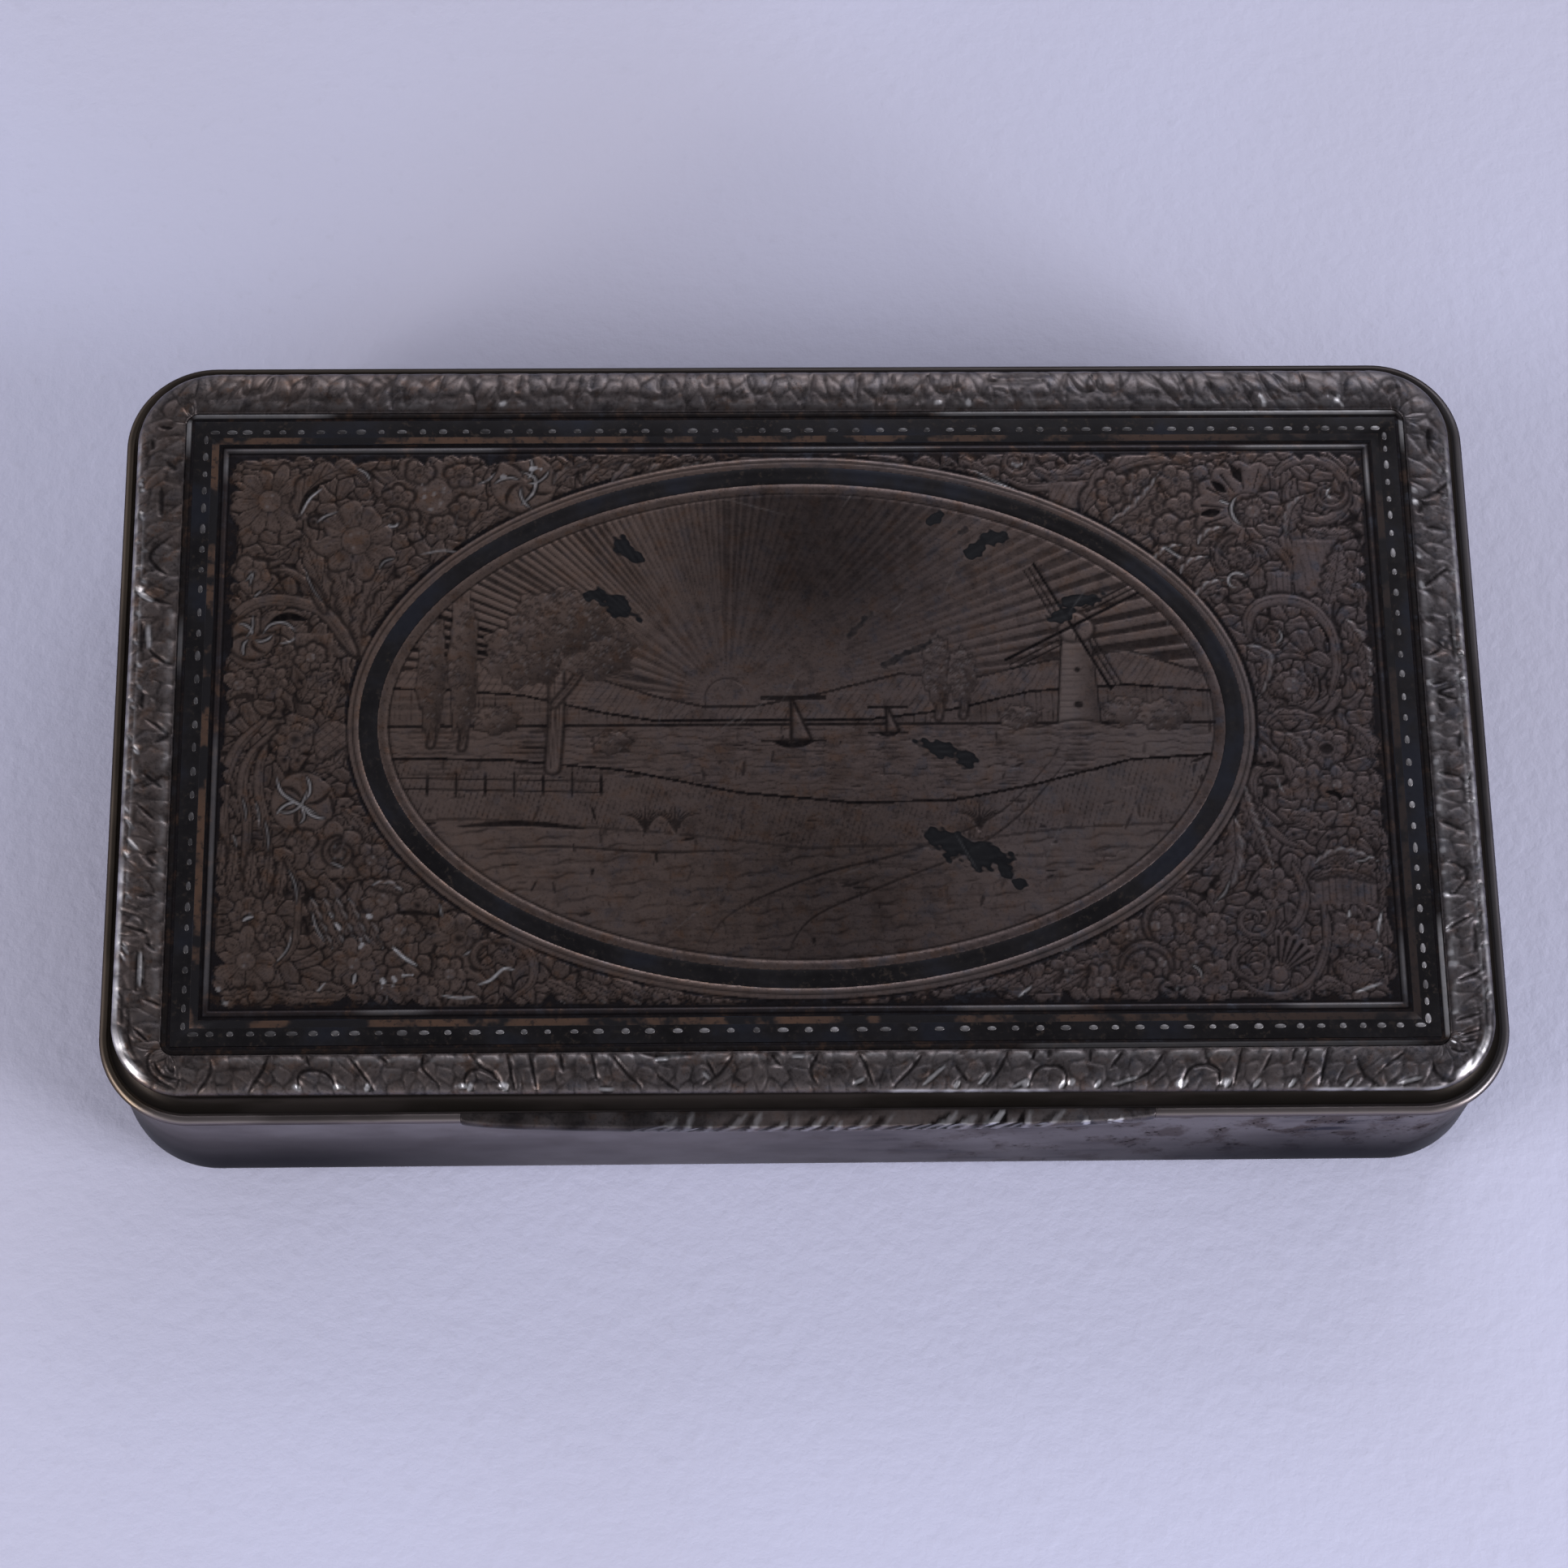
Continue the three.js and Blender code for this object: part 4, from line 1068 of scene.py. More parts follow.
def corner_right_front(g):
    # The flower and leaves at the middle of the side.
    g.petals(31.9, -2, 1.35, 9, 0, 0.15, 0.42, "hole")
    g.dot(31.9, -2, 0.5, 0.85, 0)
    g.acanthus(curve((29.4, -1), (30.2, -1.8), (30.4, -3)), 1.2, 4, light=0.2)
    g.acanthus(curve((28.2, -0.6), (29, 0.2), (30.6, 0.2), (31.8, -0.2)), 0.9, 4)
    g.acanthus(curve((33.4, -0.4), (34.4, -1.4), (34.7, -2.9)), 1.2, 4)
    g.band(curve((32.4, 0.4), (31.6, -0.6)), 0.4)
    # The scroll, with three small flowers beside it.
    scroll = curve((28.6, -2.9), (27.4, -3.6), (27.2, -5), (27.7, -6.6), (29, -7.9), (30, -8.4))
    g.band(scroll, 0.75, (0.2, 0.4))
    g.cut(curve((28.9, -3.4), (29.3, -4.4), (29.6, -5.2)), 0.26, 0.05, 0.8)
    g.bright_cut(curve((28.7, -3.7), (29, -4.6), (29.3, -5)), 0.16, 0.4)
    g.petals(30.6, -4.2, 1.2, 6, 0, 0.28, 0.3, "hole")
    g.petals(32.4, -4.3, 1.2, 6, 30, 0.28, 0.3)
    g.petals(34.5, -4.6, 1.1, 6, 10, 0.28, 0.3, "hole")
    g.cut(curve((31.6, -4.8), (32.4, -5), (32.9, -5.8)), 0.4, 0.06, 1.0)
    g.bright_cut(curve((32.9, -5.4), (33.2, -5.9)), 0.14, 0.5)
    g.acanthus(curve((29.3, -6.4), (30.4, -6.4), (31.6, -7.2)), 1.2, 4)
    g.dot(29.6, -7.5, 0.4, 0.95, 0)
    g.dot(32.3, -6.5, 0.36, 0.95, 0)
    g.cut(curve((27.3, -2.9), (28.2, -3), (28.9, -2.7)), 0.4, 0.05, 0.95)
    g.acanthus(curve((33.2, -6.6), (34.2, -7), (34.9, -7.8)), 1.2, 4)
    # The long leaves that hang beside the oval.
    leaf = curve((26.6, -4.2), (26.9, -6.2), (27.6, -8.2), (28.2, -9.8))
    g.acanthus(leaf, 1.3, 9, (1, 0.7), slant=2.0, light=0.3)
    g.acanthus(curve((26, -6.4), (26, -8.6), (25.5, -10.4), (24.5, -11.9)), 1.5, 5, (0.9, 1), 0.7, light=0.3)
    g.bright_cut(curve((25.6, -10.3), (25.2, -11.2), (24.6, -11.8)), 0.16, 0.45)
    g.acanthus(curve((22.8, -9.8), (23.9, -9.2), (24.9, -8.2)), 1.0, 5)
    g.acanthus(curve((21.6, -11.4), (22.6, -10.6), (23.9, -10)), 0.9, 4)
    g.petals(28.2, -10.7, 1.2, 6, 0, 0.25, 0.3, "hole")
    # Two curls, the scroll round them and the fan below.
    g.band(spiral(26.8, -13, 1.35, 60, -1.3, 0.2), 0.5, (0.1, 0.4))
    g.dot(26.9, -12.9, 0.24, 0.9, 0)
    g.band(spiral(26.7, -15.7, 1.4, 110, 1.3, 0.2), 0.5, (0.1, 0.4))
    g.dot(26.8, -15.6, 0.22, 0.9, 0)
    g.band(curve((29.4, -9.4), (30, -11.4), (29.4, -13.2), (28, -14)), 0.7, (0.3, 0.3), 0.4)
    g.shell(28.2, -16.4, 2.9, 20, 96, 6, 0.2, 0.8)
    g.band(
        curve((31, -11.4), (31.2, -13.4), (31, -15), (30.1, -16.8), (28.4, -17.7), (26.8, -17.5),
              (25.9, -16.8)),
        0.6, (0.2, 0.3), 0.4,
    )
    g.cut(curve((26.9, -17), (27.4, -17.2), (27.9, -17.2)), 0.4, 0.06, 1.0)
    # Hatching, leaves and bright cuts up the right edge.
    g.hatch_patch((30.6, 34.4), (-12, -10), 90, 0.42, 0.55)
    g.acanthus(curve((30.8, -9.4), (32.4, -8.8), (34.6, -9.3)), 1.2, 6, light=0.4)
    g.acanthus(curve((30.4, -10.4), (32.2, -9.9), (34.4, -10.6)), 0.6, 7)
    g.acanthus(curve((34.9, -8.6), (35, -10.6), (34.4, -12.6)), 0.8, 5)
    g.bright_cut(curve((33, -9.3), (33.8, -9.2), (34.2, -8.8)), 0.16, 0.5)
    g.bright_cut(curve((32.6, -12.4), (32.6, -13.2)), 0.24, 0.8)
    g.bright_cut(curve((34.6, -12.4), (34.3, -13.5), (34.1, -14.6)), 0.22, 0.75)
    g.bright_cut(curve((35.3, -14.5), (34.6, -15.1), (34.1, -15.5)), 0.2, 0.65)
    g.bright_cut(curve((32.6, -17.6), (33.4, -17.3), (34.3, -17)), 0.24, 0.8)
    g.petals(32.9, -14, 1.3, 7, 0, 0.28, 0.3)
    g.dot(31.8, -14.9, 0.34, 0.9, 0)
    g.acanthus(curve((31.6, -15.6), (32.6, -16.3), (34.4, -16.6)), 1.7, 4, (1, 1), 0.8)
    g.acanthus(curve((30.2, -17.4), (31.2, -16.9), (31.9, -17.4)), 0.9, 3)
    g.acanthus(curve((34.9, -12.8), (34.8, -14.4), (34.7, -16.6)), 0.8, 4)
    # A bank of small flowers under two bowed stems.
    for x, y, turn in (
        (22.6, -12.8, 0), (20.9, -13.3, 30), (19.4, -13.9, 10), (24.3, -13.6, 20), (21.2, -15.6, 0),
        (23.2, -15.4, 40), (19.6, -15.9, 15), (24.4, -16.6, 5), (17.8, -15.2, 35), (20.2, -17.3, 25),
        (22.2, -17.3, 50), (17.4, -16.8, 0), (15.6, -16.2, 20),
    ):
        g.petals(x, y, 1.15, 6, turn, 0.26, 0.32, "hole" if turn % 2 else "dots")
    g.band(spiral(21.9, -13.3, 1.9, 20, 0.55, 0.8), 0.5)
    g.band(spiral(20.4, -16, 1.7, 180, -0.5, 0.8), 0.5)
    g.cut(curve((21.2, -17.1), (22, -17.3), (22.6, -17.1)), 0.3, 0.05, 0.95)
    g.bright_cut(curve((22.9, -15.7), (23.4, -16.1), (23.6, -16.7)), 0.18, 0.5)
    # The leaves that run on along the frame.
    for x in (6.4, 8.6, 10.8, 13, 14.6):
        g.acanthus(curve((x, -17.4), (x + 1.1, -16.8), (x + 2.2, -16.1)), 0.9, 4, (1, 0.8), 0.9)
    g.bright_cut(curve((12.5, -17.7), (13.4, -17)), 0.22, 0.75)
    g.bright_cut(curve((15, -14.9), (15.9, -14.6)), 0.16, 0.45)
    g.bright_cut(curve((9, -17.7), (10, -17.2), (11, -17)), 0.14, 0.4)
    g.dot(10.3, -17.6, 0.5, 0.9, 0)
    g.dot(16.9, -14.4, 0.3, 0.8, 0)


def fill_between(g, open_ground):
    """Small fanned leaves crowded together wherever the larger ornament leaves room."""
    pick = np.random.default_rng(11)
    seeds = np.array([
        (x + pick.uniform(-0.4, 0.4), y + pick.uniform(-0.4, 0.4), pick.uniform(0, 2 * math.pi))
        for x in np.arange(-35, 35.2, 1.15) for y in np.arange(-18, 18.2, 1.05)
    ])
    owner, gap, ahead, aside = g.crowd(seeds)
    fan = np.arctan2(aside, ahead + 1.3) * 3.6 + 0.25 * ahead
    line = within((np.abs(fan % 1 - 0.5) * 2 - 0.45) / 0.4)
    eye = stripe(np.hypot(ahead, aside), 0.24) * (owner % 5 == 0)
    edge = stripe(gap, 0.18)
    shade = pick.uniform(0, 0.3, len(seeds))[owner]
    place = open_ground & (g.leaf < 0.35)
    g.leaf[place] = 1
    g.height[place] = 0
    ink = np.maximum.reduce([edge * 0.9, line * 0.5, eye * 0.9, shade])
    g.ink[place] = np.maximum(g.ink * 0.2, ink)[place]
    g.height[place] -= (0.07 * edge + 0.03 * line)[place]


# The picture in the oval: a sunrise over a lake, with trees and a windmill.

def draw_sky(g, inside, x, y):
    """The low sun and its rays, which stand out most at the sides."""
    sun, sun_radius = (-4.6, 1.5), 1.3
    dx, dy = x - sun[0], y - sun[1]
    reach = np.hypot(dx, dy)
    angle = np.degrees(np.arctan2(dy, dx)) + 0.5 * np.sin(x * 0.7) / np.maximum(reach, 4)
    sky = inside & (y > 0.4)
    for layer, value in ((g.height, -0.02), (g.ink, 0.1), (g.gleam, 0.0), (g.leaf, 1.0)):
        layer[inside] = value
    wide = 0.5 + 0.16 * np.sin(angle * 0.31) + 0.12 * np.sin(angle * 1.13)
    rays = 0
    close = np.where(angle > 90, 1.9, 2.25)
    for every, share in ((close, within((reach - 5) / 3)), (6.75, within((8 - reach) / 3))):
        saw = np.abs((angle / every) % 1 - 0.5) * 2
        pitch = np.radians(every) * reach
        rays = rays + share * within((wide - saw) * pitch / g.pitch * 0.5 + 0.5)
    beside = within(np.abs(x - 1) / 16)
    beam = 0.5 + 0.5 * np.sin(angle * 0.118 + 1.1) * np.sin(angle * 0.047)
    ray = rays * within((reach - sun_radius) / 0.8) * (0.2 + 0.8 * beside) * (0.55 + 0.45 * beam)
    g.ink[sky] = np.maximum(g.ink, ray * 0.95)[sky]
    g.fair[sky] = ((1 - rays) * (0.62 - 0.45 * (x > 0)) * beside * within((reach - 3) / 4))[sky]
    g.height[sky] -= (0.05 * ray)[sky]
    disc = sky & (reach < sun_radius)
    g.ink[disc] = 0.05
    g.cut(spiral(*sun, sun_radius + 0.05, 0, 1, 1.0), 0.14, 0.03, 0.7)


def draw_mill(g, inside, x, y):
    """The windmill on the right shore: its tower, its windows and its four sails."""
    mill_x, mill_foot, mill_top = 16.9, -0.3, 6.0
    foot_half, top_half = 1.35, 0.85
    tower = [
        (mill_x - foot_half, mill_foot), (mill_x - top_half, mill_top),
        (mill_x + top_half, mill_top), (mill_x + foot_half, mill_foot),
    ]
    half = np.interp(y, (mill_foot, mill_top), (foot_half, top_half))
    body = inside & (np.abs(x - mill_x) < half) & (y > mill_foot) & (y < mill_top)
    shade = 0.5 * ((x - mill_x) / 1.4)
    g.ink[body] = np.clip(0.15 + shade, 0.0, 0.6)[body]
    g.fair[body] = np.clip(0.45 - shade, 0.0, 0.6)[body]
    g.height[body] = 0.0
    g.hatch(everywhere, x, y, body.astype(float), 0, 0.42, 0.4)
    g.cut(curve(*tower[:2]), 0.16, 0.03, 0.9, 0, (0, 0))
    g.cut(curve(*tower[2:]), 0.16, 0.03, 0.9, 0, (0, 0))
    g.petals(mill_x, 6.2, 1.05, 3, 90, 0.1, 0.2, "hole")
    g.dot(mill_x, 1.0, 0.34, 0.9, 0)
    g.dot(mill_x, 3.3, 0.24, 0.9, 0)
    hub = (mill_x - 0.2, 6.2)
    for turn in (28, 118, 208, 298):
        a = math.radians(turn)
        ax, ay = math.cos(a), math.sin(a)
        g.cut(curve(hub, (hub[0] + 4.8 * ax, hub[1] + 4.8 * ay)), 0.24, 0.04, 1.0, 0, (0, 0))
        for side in (0.75, 0.4):
            start = (hub[0] + 1.2 * ax - side * ay, hub[1] + 1.2 * ay + side * ax)
            g.cut(curve(start, (start[0] + 3.5 * ax, start[1] + 3.5 * ay)), 0.15, 0.03, 0.95, 0, (0, 0))
        for step in range(8):
            r = 1.3 + step * 0.48
            from_stock = (hub[0] + r * ax, hub[1] + r * ay)
            g.cut(curve(from_stock, (from_stock[0] - 0.75 * ay, from_stock[1] + 0.75 * ax)), 0.1, 0.02, 0.75)
    g.cut(curve((mill_x - 3, -0.6), (mill_x, 0), (mill_x + 3, -0.7)), 0.18, 0.03, 0.8)


def draw_boats(g):
    """Two small boats, with the water dark under them."""
    for px, py, size in ((-0.6, -1.5, 1.0), (5.2, -0.9, 0.6)):
        where, wx, wy = g.window((px - 2 * size, py), (px + 2 * size, py + 3.2 * size))
        up = (wy - py - 0.3 * size) / (2.6 * size)
        sail = np.minimum((1 - up) * 1.1 * size - (wx - px), wx - px + 0.06) * (up > 0) * (up < 1)
        g.swelling(where, np.minimum(sail, (wy - py - 0.3 * size)), 0.0, 0.3, 0.03, 0.9)
        g.cut(curve((px - 0.1, py + 0.1), (px - 0.1, py + 3.0 * size)), 0.14, 0.03, 0.9, 0, (0, 0))
        g.cut(curve((px - 0.9 * size, py + 0.5 * size), (px - 0.12, py + 2.6 * size)), 0.12, 0.02, 0.8)
        hull = curve((px - 1.3 * size, py + 0.2), (px, py - 0.05), (px + 1.4 * size, py + 0.25))
        g.cut(hull, 0.45 * size, 0.04, 0.95)
        for k in range(4):
            deep = py - 0.5 - 0.35 * k
            g.cut(curve((px - 1 + 0.3 * k, deep), (px + 1.2 - 0.2 * k, deep)), 0.12, 0.02, 0.6)


def draw_sunrise(g, inside):
    """The whole picture, from the sky down to the meadow in front."""
    x, y = np.meshgrid(g.x, g.y)
    draw_sky(g, inside, x, y)

    def land(top, bottom, ink, angle, gap, strength, line):
        """Fills between two skylines with even strokes."""
        high = np.interp(g.x, *zip(*top))[None, :]
        low = np.interp(g.x, *zip(*bottom))[None, :] if bottom else -30.0
        place = inside & (y < high) & (y > low)
        g.ink[place] = ink
        g.height[place] = -0.02
        waver = y + 0.1 * np.sin(x * 1.7 + y) + 0.06 * np.sin(x * 4.1)
        broken = 0.65 + 0.35 * np.sin(x * 1.1 + 3 * y) * np.sin(y * 2.3 - 0.6 * x)
        g.hatch(everywhere, x, waver, place * broken, angle, gap, strength)
        edge = inside & (np.abs(y - high) < g.pitch * 0.9)
        at_least(g.ink, line, edge)

    shore = [(-30, 0.2), (30, 0.2)]
    hills = [
        (-30, 2.2), (-24, 3.6), (-19, 4.3), (-14, 3.4), (-9, 1.7), (-6, 1.0), (-3, 1.0), (1, 1.8),
        (6, 3.1), (10, 2.7), (15, 3.9), (20, 4.6), (26, 2.6),
    ]
    near = [
        (-30, 2.4), (-22, 2.2), (-17, 1.8), (-12, 0.6), (-9, 0.1), (4, 0.1), (9, 0.7), (14, 1.9),
        (20, 2.3), (28, 1.6),
    ]
    bank = [
        (-30, -2.2), (-18, -2.4), (-11, -3.1), (-4, -4.6), (3, -5.3), (9, -5.2), (14, -4.2), (20, -2.6),
        (30, -2),
    ]
    meadow = [(-30, -6.4), (-20, -6.2), (-8, -7.2), (0, -8.2), (8, -8), (16, -7), (30, -6.4)]
    land(hills, shore, 0.1, 58, 0.42, 0.7, 0.85)
    land(near, [(-30, -0.4), (30, -0.4)], 0.25, 90, 0.34, 0.85, 0.95)
    land([(-30, -0.2), (30, -0.2)], None, 0.1, 0, 0.5, 0.75, 0.9)
    land(bank, None, 0.2, 74, 0.34, 0.8, 0.95)
    land(meadow, None, 0.12, 4, 0.8, 0.7, 0.6)
    pick = np.random.default_rng(5)
    for _ in range(260):
        px, py = pick.uniform(-25, 25), pick.uniform(-15, 0.6)
        run, turn = pick.uniform(0.3, 1.3), pick.choice((0.05, 0.2, 1.3, 1.6)) + pick.uniform(-0.2, 0.2)
        g.cut(curve((px, py), (px + run * math.cos(turn), py + run * math.sin(turn))),
              pick.uniform(0.1, 0.26), 0.03, pick.uniform(0.4, 0.9))
    for px, dark in ((-22, 0.6), (-16, 0.75), (-12, 0.5), (9, 0.5), (16.9, 0.65)):
        for k in range(9):
            py, half = -0.6 - 0.34 * k, pick.uniform(0.5, 1.5) * (1.6 if px < 0 else 1)
            g.cut(curve((px - half, py), (px + half * 0.8, py)), 0.2, 0.03, dark * pick.uniform(0.6, 1.2))

    def crown(cx, cy, rx, ry, count):
        """A tree's leaves: a lobed, raised mass with small curled cuts."""
        where, wx, wy = g.round_about(cx, cy, rx, ry, 0.5)
        turn = np.arctan2((wy - cy) / ry, (wx - cx) / rx)
        lobed = 1 + 0.09 * np.sin(turn * 7 + cx) + 0.05 * np.sin(turn * 17)
        inner = (lobed - np.hypot((wx - cx) / rx, (wy - cy) / ry)) * min(rx, ry)
        covered = g.swelling(where, inner, 0.0, 0.5, 0.02, 0.7)
        shaded = np.clip(0.25 + 0.35 * (wx - cx) / rx - 0.3 * (wy - cy) / ry, 0, 0.7)
        at_least(g.ink, shaded * covered, where)
        g.fair[where] = np.maximum(g.fair[where] * (1 - covered), 0.3 * covered * (0.5 - shaded).clip(0, 1))
        for _ in range(count):
            a, r = pick.uniform(0, 2 * math.pi), math.sqrt(pick.uniform(0, 0.85))
            px, py = cx + rx * r * math.cos(a), cy + ry * r * math.sin(a)
            bow = pick.uniform(0.14, 0.28)
            g.cut(curve((px - bow, py), (px, py + bow * 0.9), (px + bow, py - 0.05)), 0.13, 0.01, 0.65)
            if pick.uniform() < 0.2 + 0.25 * (px > cx):
                g.cut(curve((px - bow, py - 0.15), (px, py + bow * 0.6)), 0.1, 0.01, 0, 0.22)

    def trunk(x0, y0, x1, y1, width):
        g.band(curve((x0, y0), ((x0 + x1) / 2 + 0.1, (y0 + y1) / 2), (x1, y1)), width, (0.0, 0.0), 1.0)
        for k in (-0.25, 0.1, 0.3):
            g.cut(curve((x0 + k * width, y0), (x1 + k * width, y1)), 0.1, 0.02, 0.7)

    for px, foot_y, top_y in ((-22.6, -1.4, 7.4), (-20.7, -1.6, 8.8), (8.3, 0.2, 5.6), (9.8, 0.3, 4.7)):
        trunk(px, foot_y, px, foot_y + 1.4, 0.4)
        crown(px, (foot_y + 1 + top_y) / 2, 0.85, (top_y - foot_y - 1) / 2, 60)
    trunk(-15.2, -2.9, -15.0, 3.2, 0.9)
    trunk(-15.1, 1.2, -13.2, 3.9, 0.4)
    crown(-16.9, 4.6, 2.5, 2.2, 150)
    crown(-12.6, 4.9, 2.4, 2.0, 130)
    crown(-14.8, 6.7, 3.0, 2.1, 180)
    for px, py, size in (
        (-18.7, 0.2, 1.1), (-11.6, -1.3, 0.9), (19.8, 0.6, 1.1), (22.0, 0.3, 1.2), (13.2, 0.2, 0.9),
    ):
        crown(px, py, size * 1.25, size * 0.8, 22)
    for k in range(8):
        px = -24.5 + k * 1.75
        g.cut(curve((px, -4.9), (px, -3.1)), 0.22, 0.03, 0.9)
    for rail in (-3.5, -4.2):
        g.cut(curve((-25.5, rail), (-12, rail - 0.35)), 0.14, 0.02, 0.85, 0, (0.02, 0.02))
    draw_mill(g, inside, x, y)
    draw_boats(g)
    for _ in range(70):
        px, py = pick.uniform(-9, 14), pick.uniform(-4.8, -0.7)
        run = pick.uniform(0.5, 2.2)
        g.cut(curve((px, py), (px + run / 2, py + 0.08), (px + run, py)), 0.12, 0.02, pick.uniform(0.3, 0.8))

    for track in (
        ((-6.5, -16), (-4.8, -12.6), (0.6, -10), (6.4, -8.4), (11.8, -6), (16, -1.6)),
        ((-1.6, -16), (0.2, -12.8), (4.8, -10.6), (9.6, -8.6), (13.2, -6), (16.9, -1.6)),
    ):
        g.cut(curve(*track), 0.2, 0.03, 0.75)
    for _ in range(240):
        px, py = pick.uniform(-23, 24), pick.uniform(-14.6, -5)
        lean, tall = pick.uniform(-0.25, 0.25), pick.uniform(0.25, 0.75)
        if abs(px - np.interp(py, (-16, -8.5, -5), (-4, 8, 12.6))) < 2:
            continue
        g.cut(curve((px, py), (px + lean / 2, py + tall / 2), (px + lean, py + tall)), 0.11, 0.02,
              pick.uniform(0.35, 0.7))
    for _ in range(60):
        px, py = pick.uniform(-22, 20), pick.uniform(-14.4, -6.5)
        run = pick.uniform(1.5, 5)
        g.cut(curve((px, py), (px + run / 2, py + pick.uniform(-0.15, 0.15)), (px + run, py)), 0.11, 0.015,
              pick.uniform(0.2, 0.5))
    smoked = np.exp(-(((x - 1) / 9) ** 2)) * np.where(y > 0, 0.7, 0.45) * within(np.abs(y) / 9)
    g.ink[inside] = np.maximum(g.ink, smoked + 0.6 * g.ink)[inside]
    blotch = np.sin(x * 0.9 + 2 * np.sin(y * 0.5)) * np.sin(y * 1.3 + np.sin(x * 0.4))
    pale = (within((np.abs(x) - 5) / 16) * 0.4 + 0.14 * blotch) * (y < 0.5)
    g.fair[inside] = np.maximum(g.fair, within(pale) * (1 - g.ink))[inside]
    murk = within(np.sin(x * 0.55 + 1.7 * np.sin(y * 0.4 + 1)) * np.sin(y * 0.8 + np.sin(x * 0.6)) - 0.1)
    g.ink[inside] = np.maximum(g.ink, g.ink * 0.85 + 0.1 * murk * (y < 3))[inside]
    for px in (-9.6, -7.8, 10.6):
        for k in range(9):
            lean = (k - 4) * 0.3
            blade = curve((px, -7.2), (px + lean * 0.5, -6.2), (px + lean * 1.4, -5.3 - abs(lean) * 0.5))
            g.cut(blade, 0.14, 0.025, 0.85)
    g.cut(curve((-21, -6.7), (-17, -6.5), (-13, -6.9)), 0.4, 0.04, 0.9)
    g.cut(curve((-20, -8.2), (-15, -8.0), (-9, -8.4), (-3, -8.3)), 0.2, 0.03, 0.8)


def wear_black(g):
    """Black left on the face where the old filling has not worn off, a patch at a time."""
    x, y = g.x[None, :], g.y[:, None]
    patches = (
        (-10.7, 11.5, 1.3, 0.5, -50), (-11.4, 7.8, 1.7, 0.6, -26), (-13, 8.4, 0.5, 0.35, 0),
        (8.6, 13.6, 0.7, 0.35, 40), (12, 12.1, 1.0, 0.55, 30), (10.9, 11.4, 0.9, 0.5, 35),
        (10.2, 12.6, 0.6, 0.3, 40), (17.2, 7.9, 1.5, 0.45, 12), (16.2, 7.0, 1.1, 0.45, 20),
        (8.3, -1.9, 1.3, 0.55, -18), (9.9, -2.6, 1.0, 0.5, -30), (8.6, -7.9, 1.4, 0.9, -25),
        (10.6, -8.7, 1.8, 0.9, -20), (12, -9.6, 0.8, 0.4, -50), (12.8, -10.6, 0.45, 0.4, 0),
        (3.6, 6.3, 1.6, 0.3, 50), (6.4, 4.4, 2.4, 0.3, 28),
    )
    rough = 0.3 * np.sin(x * 2.3 + y * 1.3) * np.sin(y * 2.9 - x * 1.1) + 0.12 * np.sin(x * 9 + y * 7)
    rough = rough + 0.16 * np.sin(x * 5.1 - y * 6.3) * np.sin(y * 7.7 + x * 3.2)
    for cx, cy, long_half, short_half, turn in patches:
        a = math.radians(turn)
        along = (x - cx) * math.cos(a) + (y - cy) * math.sin(a)
        aside = (y - cy) * math.cos(a) - (x - cx) * math.sin(a)
        depth = 1.25 - np.hypot(along / long_half, aside / short_half) + rough
        full = 1.0 if short_half > 0.34 else 0.5
        at_least(g.black, within(depth * 1.5) * full)


# The lid's face, its black inlay and its beads.

def far_from_oval(x, y):
    """How far a place lies outside the middle of the oval's black band, less than 0 inside it."""
    a, b = oval_half
    reach = np.sqrt((x / a) ** 2 + (y / b) ** 2) + 1e-9
    return (reach - 1) * reach / np.sqrt(x**2 / a**4 + y**2 / b**4 + 1e-12)


